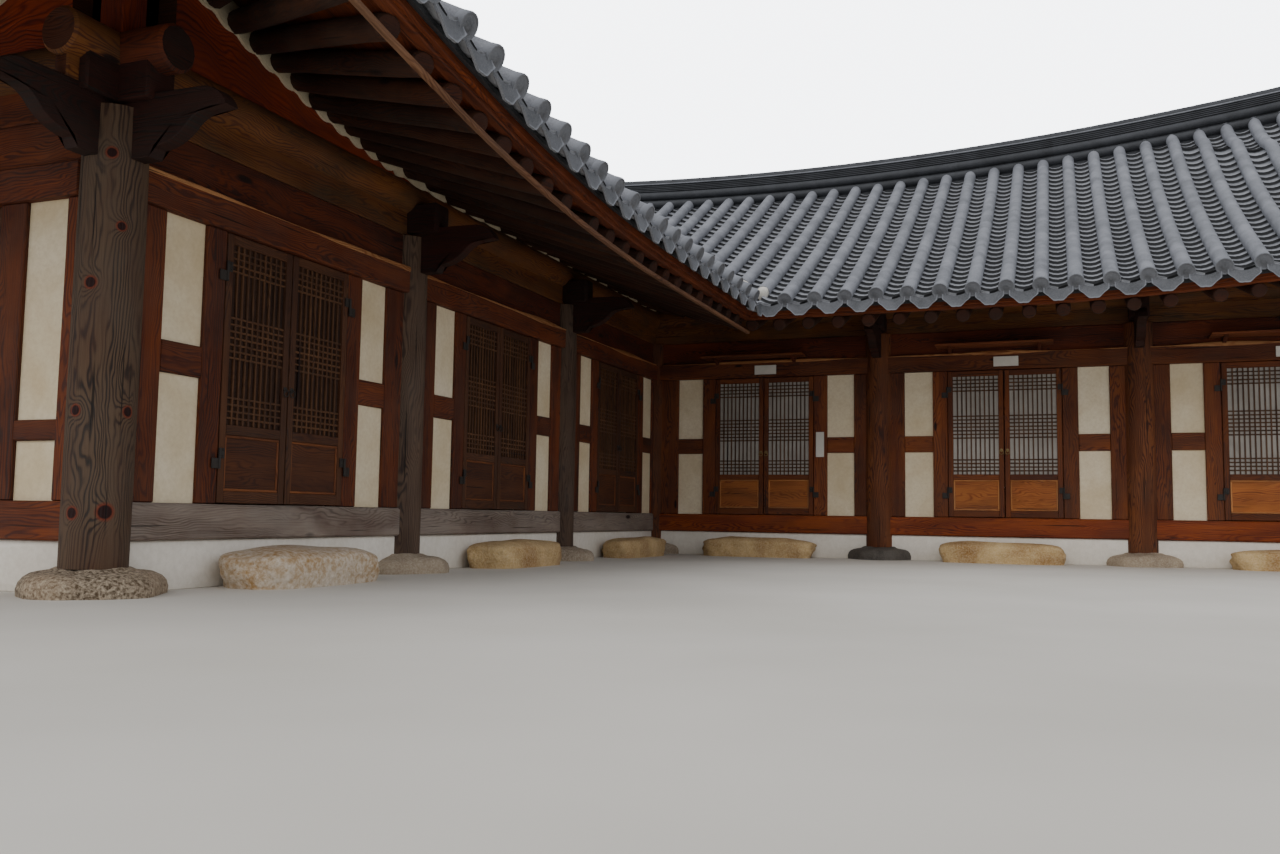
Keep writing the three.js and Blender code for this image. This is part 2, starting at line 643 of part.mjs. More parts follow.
function roofGrid(side, { height, gable, lowRows = TILE_ROWS, mitre = MITRE_GAP }) {
  const end = eaveEnd(side);
  const distances = [...lowRows, gable, MIDDLE_ROW, HALF_SPAN - RIDGE_HALF];
  const gableRow = lowRows.length;
  const rows = [
    ...distances.map((d) => [d, d - EAVE_OUT]),
    ...[...distances].reverse().map((d) => [d, EAVE_FAR - d]),
  ];
  const points = [];
  const add = (u, v, d) => points.push([...flared(side, u, v), height(side, u, v, d)]) - 1;
  const main = rows.map(([d, v]) => {
    const start = mitre - v;
    const stop = d < gable ? end - d : end - gable;
    const lastStep = d < gable ? HIP_RIDGE_STEP : VERGE_WIDTH;
    const from = start + HIP_RIDGE_STEP;
    const to = stop - lastStep;
    return [start, ...STATIONS.map((f) => from + f * (to - from)), stop].map((u) => add(u, v, d));
  });
  const gableRows = rows.slice(gableRow, rows.length - gableRow);
  const skirt = distances.slice(0, gableRow + 1).map((d, k) => {
    const low = d - EAVE_OUT;
    const high = EAVE_FAR - d;
    const stations = gableRows.slice(1, -1).map(([, v]) => (
      low + ((v - gable + EAVE_OUT) / (HALF_SPAN * 2 - gable * 2)) * (high - low)
    ));
    const inner = [low + HIP_RIDGE_STEP, ...stations, high - HIP_RIDGE_STEP];
    const hipCourt = main[k].at(-1);
    const hipOuter = main[rows.length - 1 - k].at(-1);
    return [hipCourt, ...inner.map((v) => add(end - d, v, d)), hipOuter];
  });
  return { side, points, main, skirt, gableRow };
}

function cells(rows, i0 = 0, i1 = rows[0].length - 1) {
  const triangles = [];
  for (let j = 0; j < rows.length - 1; j += 1) {
    for (let i = i0; i < i1; i += 1) {
      const [a, b, c, d] = [rows[j][i], rows[j][i + 1], rows[j + 1][i + 1], rows[j + 1][i]];
      triangles.push([a, b, c], [a, c, d]);
    }
  }
  return triangles;
}

// The upright face of the gable between the main slopes' end and the skirt's top row
function gableFace({ points, main, skirt, gableRow }) {
  const lower = skirt.at(-1);
  const upper = main.slice(gableRow + 1, main.length - gableRow - 1).map((row) => row.at(-1)).reverse();
  const ring = [...lower, ...upper];
  const outline = ring.map((index) => new THREE.Vector2(points[index][1], points[index][2]));
  return THREE.ShapeUtils.triangulateShape(outline, []).map(([a, b, c]) => {
    const area = outline[b].clone().sub(outline[a]).cross(outline[c].clone().sub(outline[a]));
    return area > 0 ? [ring[a], ring[b], ring[c]] : [ring[a], ring[c], ring[b]];
  });
}

function boundary(triangles) {
  const seen = new Map();
  for (const [a, b, c] of triangles) {
    for (const [p, q] of [[a, b], [b, c], [c, a]]) {
      if (seen.has(`${q} ${p}`)) seen.delete(`${q} ${p}`);
      else seen.set(`${p} ${q}`, [p, q]);
    }
  }
  return [...seen.values()];
}

// A closed solid between an upper and a lower sheet that share their numbering
function between(upper, lower, upperTriangles, lowerTriangles) {
  const count = upper.length;
  const index = [
    ...upperTriangles.flat(),
    ...lowerTriangles.flatMap(([a, b, c]) => [a + count, c + count, b + count]),
    ...boundary(upperTriangles).flatMap(([p, q]) => [q, p, p + count, q, p + count, q + count]),
  ];
  const geometry = new THREE.BufferGeometry();
  const positions = new Float32Array([...upper, ...lower].flat());
  geometry.setAttribute('position', new THREE.BufferAttribute(positions, 3));
  geometry.setIndex(index);
  return geometry.toNonIndexed();
}

const raised = (points, amount) => points.map(([x, y, z]) => [x, y, z + amount]);
const wholeSheet = (grid) => [...cells(grid.main), ...cells(grid.skirt)];
const GABLE = EAVE_OUT + GABLE_SET_IN;

function addRoofMass(side) {
  const top = roofGrid(side, { height: tileTop, gable: GABLE });
  const bottom = roofGrid(side, { height: tileBottom, gable: GABLE + GABLE_WALL });
  const mass = between(
    top.points,
    bottom.points,
    [...wholeSheet(top), ...gableFace(top)],
    [...wholeSheet(bottom), ...gableFace(bottom)],
  );
  addToWing(side, 'court', 'roof', mass, 'tile');
}

// Rafters: straight rods under the boards, from the eave's edge to their inner end
function rod(from, to, radius, sides) {
  const start = new THREE.Vector3(...from);
  const line = new THREE.Vector3(...to).sub(start);
  const shape = new THREE.CylinderGeometry(radius, radius, line.length(), sides);
  shape.translate(0, line.length() / 2, 0);
  shape.applyQuaternion(new THREE.Quaternion().setFromUnitVectors(new THREE.Vector3(0, 1, 0), line.normalize()));
  return shape.translate(start.x, start.y, start.z);
}

const axisPoint = (side, u, v, d) => [...flared(side, u, v), deckTop(side, u, v, d) - DECK_ABOVE_AXIS];
const evenly = (from, to, pitch) => Array.from(
  { length: Math.floor((to - from) / pitch) + 1 },
  (_, index) => from + index * pitch,
);

// Rafters of the courtyard slope as pairs of plan points: parallel ones, then the fan at the end
function courtRafters(side) {
  const parallel = evenly(FIRST_RAFTER, FAN_START, RAFTER_PITCH)
    .map((u) => [[u, Math.max(-RAFTER_OUT, VALLEY_CLEARANCE - u)], [u, RAFTER_END]]);
  return [...parallel, ...fanRafters(side)];
}

// The rafters of a fan run towards one point over the middle of the wing
function fanRafters(side) {
  const last = eaveEnd(side) - (EAVE_OUT - RAFTER_OUT) - HIP_CLEARANCE;
  const share = (RAFTER_END + RAFTER_OUT) / (MIDDLE_LINE + RAFTER_OUT);
  return evenly(FAN_START + RAFTER_PITCH, last, RAFTER_PITCH)
    .map((u) => [[u, -RAFTER_OUT], [u + (FAN_START - u) * share, RAFTER_END]]);
}

// The slope below the gable: both corner fans turned about their hips, and one rafter between
function endRafters(side) {
  const end = eaveEnd(side);
  const turnedFan = fanRafters(side)
    .map((pair) => pair.map(([u, v]) => [end - EAVE_OUT - v, end - EAVE_OUT - u]));
  const otherFan = turnedFan.map((pair) => pair.map(([u, v]) => [u, OUTER_FACE - v]));
  const middle = [[end - (EAVE_OUT - RAFTER_OUT), MIDDLE_LINE], [end - EAVE_OUT - RAFTER_END, MIDDLE_LINE]];
  return [...turnedFan, ...otherFan, middle];
}

function addRafters(side) {
  const end = eaveEnd(side);
  const deck = roofGrid(side, {
    height: deckTop,
    gable: GABLE + GABLE_WALL + GAP,
    lowRows: DECK_ROWS,
  });
  const boards = between(
    raised(deck.points, -2 * GAP),
    raised(deck.points, -DECK_THICKNESS),
    wholeSheet(deck),
    wholeSheet(deck),
  );
  const slopes = [
    [courtRafters(side), ([, v]) => v + EAVE_OUT],
    [endRafters(side), ([u]) => end - u],
  ];
  const rods = slopes.flatMap(([pairs, distance]) => pairs.map((pair) => {
    const [tip, inner] = pair.map((point) => axisPoint(side, ...point, distance(point)));
    return rod(tip, inner, RAFTER_RADIUS, RAFTER_SIDES);
  }));
  addToWing(side, 'court', 'rafters', fuse([boards, ...rods, ...hipRafters(side)]), 'timber');
}

// A hip rafter under each end hip, from the corner of the eaves inwards
function hipRafters(side) {
  const end = eaveEnd(side);
  return [false, true].map((outer) => {
    const points = [HIP_RAFTER_TIP, GABLE].map((d) => {
      const v = outer ? EAVE_FAR - d : d - EAVE_OUT;
      const [x, y, z] = axisPoint(side, end - d, v, d);
      return [x, y, z - HIP_RAFTER_DROP];
    });
    return rod(points[0], points[1], HIP_RAFTER_RADIUS, 4);
  });
}

// Ridges: strips of tiles laid over cells of the roof's upper sheet
function ridgeStrip(grid, triangles, height, narrow = (points) => points) {
  return between(narrow(raised(grid.points, height)), raised(grid.points, GAP), triangles, triangles);
}

function addRidges(side) {
  const grid = roofGrid(side, { height: tileTop, gable: GABLE });
  const { main, skirt, gableRow } = grid;
  const last = main[0].length - 1;
  const ridgeRow = main.length / 2 - 1;
  const mitreIndices = new Set(main.map((row) => row[0]));
  const narrowed = (points) => points.map(([u, v, z], index) => {
    const narrow = MIDDLE_LINE + (v - MIDDLE_LINE) * RIDGE_TAPER;
    return [mitreIndices.has(index) ? MITRE_GAP - narrow : u, narrow, z];
  });
  const columns = skirt[0].length - 1;
  const strips = [
    ridgeStrip(grid, cells(main.slice(ridgeRow, ridgeRow + 2)), RIDGE_HEIGHT, narrowed),
    ridgeStrip(grid, cells(main.slice(gableRow, main.length - gableRow), last - 1, last), VERGE_RIDGE_HEIGHT),
    ridgeStrip(
      grid,
      [...cells(main.slice(0, gableRow + 2), last - 1, last), ...cells(skirt, 0, 1)],
      HIP_RIDGE_HEIGHT,
    ),
    ridgeStrip(
      grid,
      [...cells(main.slice(-gableRow - 2), last - 1, last), ...cells(skirt, columns - 1, columns)],
      HIP_RIDGE_HEIGHT,
    ),
  ];
  addToWing(side, 'court', 'ridge', fuse(strips), 'tile');
}

// The hip between the two wings over the outer corner of the house
function addCornerHipRidge() {
  const halves = ['back', 'left'].map((side) => {
    const grid = roofGrid(side, { height: tileTop, gable: GABLE, mitre: -1 });
    const rows = grid.main.slice(grid.main.length / 2);
    return placed(ridgeStrip(grid, cells(rows, 0, 1), HIP_RIDGE_HEIGHT), WING_PLACE[side]);
  });
  const beyondRidges = box([-FAR, -MIDDLE_LINE - RIDGE_HALF - GAP], [MIDDLE_LINE + RIDGE_HALF + GAP, FAR], [0, FAR]);
  const kept = toSolid(fuse(halves)).intersect(toSolid(beyondRidges));
  addMesh('corner_hip_ridge', toGeometry(kept.translate([0, 0, 2 * GAP])), 'tile');
}

// Gable: a plastered panel on the lower slope, with a board along each verge
function addGable(side) {
  const grid = roofGrid(side, { height: tileTop, gable: GABLE });
  const { points, main, skirt, gableRow } = grid;
  const upper = main.slice(gableRow, main.length - gableRow).map((row) => points[row.at(-1)]);
  const lower = skirt.at(-1).map((index) => points[index]);
  const flat = (list) => list.map(([, v, z]) => new THREE.Vector2(v, z));
  const panel = new THREE.Shape([...flat(lower), ...flat(upper.slice(1, -1)).reverse()]);
  const under = upper.map(([u, v, z]) => [u, v, z - BARGEBOARD.depth]);
  const boards = new THREE.Shape([...flat(under), ...flat(upper).reverse()]);
  const sheet = (shape, start, depth) => new THREE.ExtrudeGeometry(shape, { depth, bevelEnabled: false })
    .applyMatrix4(ACROSS_W)
    .translate(start, 0, 0);
  const face = endFace(side) - GABLE_SET_IN + GAP;
  const pieces = [
    sheet(panel, face, GABLE_PANEL),
    sheet(boards, face + GABLE_PANEL - 1, BARGEBOARD.thickness),
  ];
  const corner = GABLE - EAVE_OUT + HIP_RIDGE_STEP + HOUSING;
  const rooms = [[-FAR, corner], [OUTER_FACE - corner, FAR]].map((v) => box([0, FAR], v, [0, FAR]));
  const below = box([0, FAR], [-FAR, FAR], [0, points[skirt.at(-1)[1]][2] + GAP]);
  addToWing(side, 'court', 'gable', fuse(pieces, [...rooms, below]), 'plaster');
}

for (const side of ['left', 'back']) {
  addCourtWall(side);
  addOuterWall(side);
  addEndWall(side);
  addBase(side);
  addDoors(side);
  addSteppingStones(side);
  addRoofMass(side);
  addRafters(side);
  addRidges(side);
  addGable(side);
}
addCornerHipRidge();

// The origin goes under the middle of the eaves' outline
house.position.set(
  (EAVE_FAR - eaveEnd('back')) / 2,
  (eaveEnd('left') - EAVE_FAR) / 2,
  0,
);

export default house;
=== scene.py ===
"""Looks of an L-shaped hanok house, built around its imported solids.

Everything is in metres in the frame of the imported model. A wing is described in wing coordinates:
u runs along the wing away from the inner corner of the courtyard and v from its courtyard face
into the wing. A wall is described in wall coordinates: s along it and w from its face inwards.
"""

from __future__ import annotations

import json
import logging
import math
from dataclasses import dataclass
from enum import Enum
from functools import cached_property
from typing import Callable, ClassVar, Iterable, Sequence

import bpy
import numpy as np
from mathutils import Matrix, Vector

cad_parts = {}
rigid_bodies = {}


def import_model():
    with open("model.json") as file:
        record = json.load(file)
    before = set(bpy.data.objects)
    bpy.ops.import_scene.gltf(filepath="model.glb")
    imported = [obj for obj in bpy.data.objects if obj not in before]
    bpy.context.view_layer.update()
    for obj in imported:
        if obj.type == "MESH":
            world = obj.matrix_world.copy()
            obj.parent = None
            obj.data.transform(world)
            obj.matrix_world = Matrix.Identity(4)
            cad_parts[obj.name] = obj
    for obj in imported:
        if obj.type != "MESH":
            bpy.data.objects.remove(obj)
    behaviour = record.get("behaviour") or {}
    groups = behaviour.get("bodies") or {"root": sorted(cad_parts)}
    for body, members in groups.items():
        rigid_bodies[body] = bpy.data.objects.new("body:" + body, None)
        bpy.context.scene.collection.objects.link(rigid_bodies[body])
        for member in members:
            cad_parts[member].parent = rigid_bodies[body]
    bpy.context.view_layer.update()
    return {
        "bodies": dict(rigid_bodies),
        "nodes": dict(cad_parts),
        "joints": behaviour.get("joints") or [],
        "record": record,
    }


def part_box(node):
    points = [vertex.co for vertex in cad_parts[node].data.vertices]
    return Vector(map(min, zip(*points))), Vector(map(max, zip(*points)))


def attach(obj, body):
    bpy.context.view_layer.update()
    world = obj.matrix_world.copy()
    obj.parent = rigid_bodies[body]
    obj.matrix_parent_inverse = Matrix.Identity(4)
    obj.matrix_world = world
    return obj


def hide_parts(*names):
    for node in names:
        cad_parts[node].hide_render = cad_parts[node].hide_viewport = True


LOG = logging.getLogger("hanok")
GRAIN_MAP = "grain"
ID_STEP = 10.0
UP = (0.0, 0.0, 1.0)
ONE_SPAN = 9.0
Array = np.ndarray
Range = tuple[float, float]
Box = tuple[Range, Range, Range]


class Side(Enum):
    """The two wings of the house."""

    LEFT = "left_wing"
    BACK = "back_wing"


class Wall(Enum):
    """The walls of a wing."""

    COURT = "court"
    OUTER = "outer"
    END = "end"


@dataclass(frozen=True)
class WingPlan:
    """Column lines and door middles of one wing, along u."""

    side: Side
    columns: tuple[float, ...]
    doors: tuple[float, ...]

    @property
    def end_face(self) -> float:
        """The u of the end wall's outer face."""
        return self.columns[-1] + COLUMN_SET_IN

    @property
    def eave_end(self) -> float:
        """The u of the eave beyond the end wall."""
        return self.end_face + EAVE_OUT

    @property
    def fan_middle(self) -> float:
        """The u over the middle line that the end's fan of rafters runs towards."""
        return self.eave_end - HALF_SPAN


COLUMN_SET_IN = 0.06
WING_DEPTH = 4.8
OUTER_FACE = WING_DEPTH + 2 * COLUMN_SET_IN
OUTER_LINE = WING_DEPTH + COLUMN_SET_IN
MIDDLE_LINE = OUTER_FACE / 2
INNER_COLUMN = -COLUMN_SET_IN
OUTER_CORNER = -OUTER_LINE
ORIGIN = (-1.57, 1.60)

STONE_TOP = 0.136
BASE_TOP = 0.27
SILL_TOP = 0.475
RAIL = (1.187, 1.365)
LINTEL = (2.075, 2.26)
HEAD_TOP = 2.52
PLATE_TOP = 2.712
PURLIN_AXIS = 2.815
PURLIN_RADIUS = 0.125
COLUMN_RADIUS = 0.15
STUD_W = (0.0, 0.15)
SILL_W = (-0.02, 0.14)
LINTEL_W = (-0.035, 0.13)
HEAD_W = (0.02, 0.15)
PLATE_W = (0.02, 0.11)
DOOR_HALF = 0.588
JAMB_WIDTH = 0.155
PANEL_WIDTH = 0.305
HINGE_STANDOFF = 0.012
HINGE_LEVELS = (0.74, 1.84)
BARREL_HEIGHT = 0.06
BARREL_GAP = 0.0003
PURLIN_OVERHANG = 0.33

EAVE_OUT = 1.76
DECK_OUT = 1.60
RAFTER_OUT = 1.56
TILE_TOP = 2.60
RIDGE_SURFACE = 4.96
ROOF_SAG = 0.06
HALF_SPAN = EAVE_OUT + MIDDLE_LINE
EAVE_FAR = OUTER_FACE + EAVE_OUT
RIDGE_HALF = 0.17
RIDGE_LOW_POINT = 1.2
RIDGE_CURVE = 0.0126
CORNER_RISE = 0.67
CORNER_FLARE = 0.16
CORNER_REACH = 5.92
CORNER_POWER = 2.2
GABLE_SET_IN = 0.4
GABLE = EAVE_OUT + GABLE_SET_IN
RAFTER_AXIS = 3.001
RAFTER_RADIUS = 0.07
RAFTER_PITCH = 0.30
RAFTER_END = 0.15
LOWER_SLOPE = 0.37
UPPER_SLOPE = 0.75
MIDDLE_PURLIN = 1.26
DECK_ABOVE_AXIS = 0.12
FIRST_RAFTER = 0.1
VALLEY_CLEARANCE = 0.1
HIP_CLEARANCE = 0.28
HIP_BLOCK_HALF = 0.08
HIP_BLOCK_TOP = 3.305
WEDGE_W = (-0.02, 0.11)
WEDGE_REACH = 4.8
WEDGE_UNDER_AXIS = 0.08
WEDGE_SHARE = 0.96
TILE_PITCH = 0.30
FIRST_TILE_ROW = 2.01
ROW_RISE = 0.018

PLANS = {
    Side.BACK: WingPlan(Side.BACK, (2.66, 5.33, 8.0), (1.338, 3.995, 6.665)),
    Side.LEFT: WingPlan(Side.LEFT, (2.56, 5.31, 8.06), (1.17, 3.93, 6.697)),
}


@dataclass(frozen=True)
class Place:
    """A placing in plan: (x, y) = matrix * (a, b) + shift, with heights kept."""

    matrix: tuple[float, float, float, float]
    shift: tuple[float, float] = (0.0, 0.0)

    @property
    def mirrored(self) -> bool:
        """Whether the placing turns a shape inside out."""
        a, b, c, d = self.matrix
        return a * d - b * c < 0

    def points(self, local: Array) -> Array:
        """Places points of shape (..., 3)."""
        a, b, c, d = self.matrix
        out = np.array(local, float)
        out[..., 0] = a * local[..., 0] + b * local[..., 1] + self.shift[0]
        out[..., 1] = c * local[..., 0] + d * local[..., 1] + self.shift[1]
        return out

    def of(self, inner: Place) -> Place:
        """The placing that first applies inner and then this one."""
        a, b, c, d = self.matrix
        e, f, g, h = inner.matrix
        x, y = inner.shift
        matrix = (a * e + b * g, a * f + b * h, c * e + d * g, c * f + d * h)
        return Place(matrix, (a * x + b * y + self.shift[0], c * x + d * y + self.shift[1]))


HERE = Place((1.0, 0.0, 0.0, 1.0))
WING_PLACE = {
    Side.BACK: Place((1.0, 0.0, 0.0, 1.0), ORIGIN),
    Side.LEFT: Place((0.0, -1.0, -1.0, 0.0), ORIGIN),
}


def wall_place(side: Side, wall: Wall) -> Place:
    """The placing of a wall's (s, w) coordinates in the model's frame.

    Args:
        side: The wing.
        wall: Which of its walls.

    Returns:
        The placing.
    """
    inner = {
        Wall.COURT: HERE,
        Wall.OUTER: Place((1.0, 0.0, 0.0, -1.0), (0.0, OUTER_FACE)),
        Wall.END: Place((0.0, -1.0, 1.0, 0.0), (PLANS[side].end_face, 0.0)),
    }[wall]
    return WING_PLACE[side].of(inner)


@dataclass(frozen=True)
class Patch:
    """One closed surface: points, faces grouped by corner count, their UVs and finish numbers."""

    points: Array
    faces: tuple[Array, ...]
    uvs: tuple[Array, ...]
    finishes: tuple[Array, ...]

    def moved(self, shift: Sequence[float]) -> Patch:
        """The patch moved by a vector."""
        return Patch(self.points + np.array(shift, float), self.faces, self.uvs, self.finishes)

    def turned(self, angle: float) -> Patch:
        """The patch turned about the vertical axis, by radians anticlockwise from above."""
        cos, sin = math.cos(angle), math.sin(angle)
        matrix = np.array([[cos, sin, 0.0], [-sin, cos, 0.0], [0.0, 0.0, 1.0]])
        return Patch(self.points @ matrix, self.faces, self.uvs, self.finishes)


class Batch:
    """Collects patches and writes them as one mesh object that rides on a body."""

    def __init__(self, place: Place = HERE) -> None:
        """Starts an empty batch whose patches are placed by place."""
        self.place = place
        self.count = 0
        self.points: list[Array] = []
        self.parts: list[tuple[Array, Array, Array]] = []

    def add(self, *patches: Patch) -> Batch:
        """Adds patches.

        Args:
            patches: Patches in the batch's local coordinates.

        Returns:
            The batch itself.
        """
        for patch in patches:
            self.points.append(self.place.points(patch.points))
            for faces, uv, finish in zip(patch.faces, patch.uvs, patch.finishes):
                if self.place.mirrored:
                    faces, uv = faces[:, ::-1], uv[:, ::-1]
                self.parts.append((faces + self.count, uv, finish))
            self.count += len(patch.points)
        return self

    def build(
        self,
        name: str,
        body: str,
        slot: str,
        materials: Sequence[bpy.types.Material],
        replaces: Sequence[str] = (),
        sharp: float = 40.0,
    ) -> bpy.types.Object:
        """Writes the mesh object.

        Args:
            name: The piece's name.
            body: The body that it rides on.
            slot: The record's material slot; not used.
            materials: One material per finish number.
            replaces: The solids that it stands for.
            sharp: The angle in degrees past which an edge stays sharp.

        Returns:
            The new object.
        """
        mesh = bpy.data.meshes.new(name)
        points = np.concatenate(self.points).astype(np.float32)
        sizes = np.concatenate([np.full(len(f), f.shape[1]) for f, _, _ in self.parts])
        loops = np.concatenate([f.ravel() for f, _, _ in self.parts])
        uvs = np.concatenate([u.reshape(-1, 2) for _, u, _ in self.parts]).astype(np.float32)
        finish = np.concatenate([k for _, _, k in self.parts])
        mesh.vertices.add(len(points))
        mesh.vertices.foreach_set("co", points.ravel())
        mesh.loops.add(len(loops))
        mesh.loops.foreach_set("vertex_index", loops.astype(np.int32))
        mesh.polygons.add(len(sizes))
        starts = np.concatenate([[0], np.cumsum(sizes)[:-1]]).astype(np.int32)
        mesh.polygons.foreach_set("loop_start", starts)
        mesh.polygons.foreach_set("loop_total", sizes.astype(np.int32))
        mesh.polygons.foreach_set("material_index", finish.astype(np.int32))
        mesh.update(calc_edges=True)
        mesh.uv_layers.new(name=GRAIN_MAP).data.foreach_set("uv", uvs.ravel())
        mesh.shade_smooth()
        mesh.set_sharp_from_angle(angle=math.radians(sharp))
        for material in materials:
            mesh.materials.append(material)
        piece = bpy.data.objects.new(name, mesh)
        bpy.context.scene.collection.objects.link(piece)
        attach(piece, body)
        if replaces:
            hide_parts(*replaces)
        LOG.info("%s: %d faces", name, len(sizes))
        return piece


def unit(vectors: Array) -> Array:
    """Vectors of shape (..., 3) scaled to length 1."""
    return vectors / np.maximum(np.linalg.norm(vectors, axis=-1, keepdims=True), 1e-12)


def quad_grid(uv: Array, rings: int, columns: int, next_ring: Callable) -> tuple[Array, Array]:
    """The quads of a grid whose last column joins its first, and their maps.

    Quad (i, j) joins ring i and the ring that next_ring gives for it, between columns j and j + 1.
    """
    i, j = np.meshgrid(np.arange(rings - 1), np.arange(columns), indexing="ij")
    i, j = i.ravel(), j.ravel()
    k, after = (j + 1) % columns, next_ring(i)
    corner = [i * columns + j, i * columns + k, after * columns + k, after * columns + j]
    return np.stack(corner, 1), np.stack([uv[i, j], uv[i, j + 1], uv[i + 1, j + 1], uv[i + 1, j]], 1)


def grid_patch(points: Array, uv: Array, end_finish: int = 0) -> Patch:
    """A closed patch over a grid: row i of points is ring i, and column j runs round it.

    The first and the last ring are closed by a fan of triangles from the ring's mean point.

    Args:
        points: The grid, of shape (rings, columns, 3).
        uv: The map, of shape (rings, columns + 1, 2).
        end_finish: The finish number of both fans.

    Returns:
        The patch.
    """
    rings, columns = points.shape[:2]
    quads, quad_uv = quad_grid(uv, rings, columns, lambda ring: ring + 1)
    j = np.arange(columns)
    k = (j + 1) % columns
    centres = points[[0, -1]].mean(1)
    first, top = rings * columns, (rings - 1) * columns
    low = np.stack([np.full(columns, first), k, j], 1)
    high = np.stack([np.full(columns, first + 1), top + j, top + k], 1)
    fan_uv = []
    for ring, order in ((0, (k, j)), (-1, (j, k))):
        spread = points[ring] - centres[ring]
        across = np.stack([spread @ unit(points[ring, 0] - points[ring, columns // 2]), spread[:, 2]], 1)
        across = across + uv[ring].mean(0)
        middle = np.broadcast_to(uv[ring].mean(0), (columns, 2))
        fan_uv.append(np.stack([middle, across[order[0]], across[order[1]]], 1))
    return Patch(
        np.concatenate([points.reshape(-1, 3), centres]),
        (quads, np.concatenate([low, high])),
        (quad_uv, np.concatenate(fan_uv)),
        (np.zeros(len(quads), int), np.full(2 * columns, end_finish)),
    )


class Ids:
    """Gives each board or tile row its own number, so that its grain and tone differ."""

    def __init__(self) -> None:
        """Starts counting at 1."""
        self.value = 1

    def next(self) -> float:
        """The next number, as an offset across the grain map."""
        self.value += 1
        return self.value * ID_STEP


IDS = Ids()


def distances(path: Array) -> Array:
    """The distance along a line of points at each of them."""
    return np.concatenate([[0.0], np.cumsum(np.linalg.norm(np.diff(path, axis=0), axis=1))])


def mesh_map(along: Array, across: Array) -> Array:
    """The map of a grid from its rings' places and its columns' places."""
    return np.stack(np.meshgrid(along, across, indexing="ij"), -1)


def turns(sides: int) -> Array:
    """Angles round a full turn, in even steps."""
    return np.arange(sides) * 2 * math.pi / sides


def sweep(
    profile: Array,
    path: Array,
    scale: Array | None = None,
    end_finish: int = 0,
    up: Sequence[float] = UP,
    uv_along: Array | None = None,
) -> Patch:
    """Carries a closed profile along a path.

    With t the path's direction, a = up x t and b = t x a, a profile point (p, q) lands at the
    path's point plus p * a + q * b, each times the ring's scale.

    Args:
        profile: Points (p, q) anticlockwise, of shape (k, 2).
        path: Points of shape (n, 3).
        scale: Scales of shape (n,) or (n, 2).
        end_finish: The finish number of the ends.
        up: The vector that b stays close to.
        uv_along: The map's first coordinate at each path point; metres along the path if None.

    Returns:
        The patch, with the grain map's U along the path and V round the profile.
    """
    path = np.asarray(path, float)
    n = len(path)
    tangent = unit(np.gradient(path, axis=0))
    lift = np.broadcast_to(np.asarray(up, float), (n, 3))
    a = unit(np.cross(lift, tangent))
    b = np.cross(tangent, a)
    size = np.ones((n, 2)) if scale is None else np.asarray(scale, float)
    size = np.stack([size, size], 1) if size.ndim == 1 else size
    p = profile[None, :, 0:1] * size[:, None, 0:1]
    q = profile[None, :, 1:2] * size[:, None, 1:2]
    points = path[:, None] + p * a[:, None] + q * b[:, None]
    along = distances(path) if uv_along is None else np.asarray(uv_along, float)
    round_it = distances(np.concatenate([profile, profile[:1]]))
    return grid_patch(points, mesh_map(along, round_it + IDS.next()), end_finish)


def rounded_box(width: float, height: float, bevel: float) -> Array:
    """A rectangle about the origin with chamfered corners, as 8 points anticlockwise."""
    x, y = width / 2, height / 2
    c = min(bevel, x * 0.9, y * 0.9)
    right = np.array([(x, -y + c), (x, y - c), (x - c, y), (-x + c, y)])
    return np.concatenate([right, -right])


def circle(radius: float, sides: int) -> Array:
    """A regular polygon about the origin, anticlockwise."""
    t = turns(sides)
    return np.stack([radius * np.cos(t), radius * np.sin(t)], 1)


def waver(length: Array, amount: float) -> Array:
    """A smooth small deviation along a timber: two sines whose phases follow the running number."""
    phase = IDS.value * 1.7
    return amount * (np.sin(1.9 * length + phase) + 0.5 * np.sin(4.3 * length + 2.1 * phase))


ALONG_V = (0.0, 1.0, 0.0)
OUTWARDS = (0.0, -1.0, 0.0)
AXIS_UP = {0: UP, 1: UP, 2: ALONG_V}


def timber(box: Box, axis: int, bevel: float = 0.006, step: float = 0.3, wave: float = 0.0012) -> Patch:
    """A squared timber that fills a box, its grain along one axis, its ends chamfered.

    The section is swept along the axis; its middle line and size waver by a millimetre or two.

    Args:
        box: Lowest and highest value along s, w and z.
        axis: The axis of the grain.
        bevel: The chamfer.
        step: The distance between rings.
        wave: The waver.

    Returns:
        The patch.
    """
    low, high = np.array(box, float).T
    middle = (low + high) / 2
    size = high - low
    length = size[axis]
    rings = max(1, int(round(length / step)))
    bevel = min(bevel, 0.2 * length)
    at = np.concatenate([[0.0], np.linspace(bevel, length - bevel, rings + 1), [length]])
    path = np.repeat(middle[None], len(at), 0)
    path[:, axis] = low[axis] + at
    up = np.array(AXIS_UP[axis])
    direction = np.zeros(3)
    direction[axis] = 1.0
    side = np.cross(up, direction)
    width, height = float(abs(side @ size)), float(abs(up @ size))
    inset = np.ones((len(at), 2))
    inset[[0, -1]] = (1 - 2 * bevel / width, 1 - 2 * bevel / height)
    inset *= 1 - np.abs(waver(at, wave))[:, None] / min(width, height)
    return sweep(rounded_box(width, height, bevel), path, inset, 1, up)


def batten(box: Box, axis: int, bevel: float = 0.001) -> Patch:
    """A small straight bar, strap or plate that fills a box in one span, without waver."""
    return timber(box, axis, bevel, ONE_SPAN, 0.0)


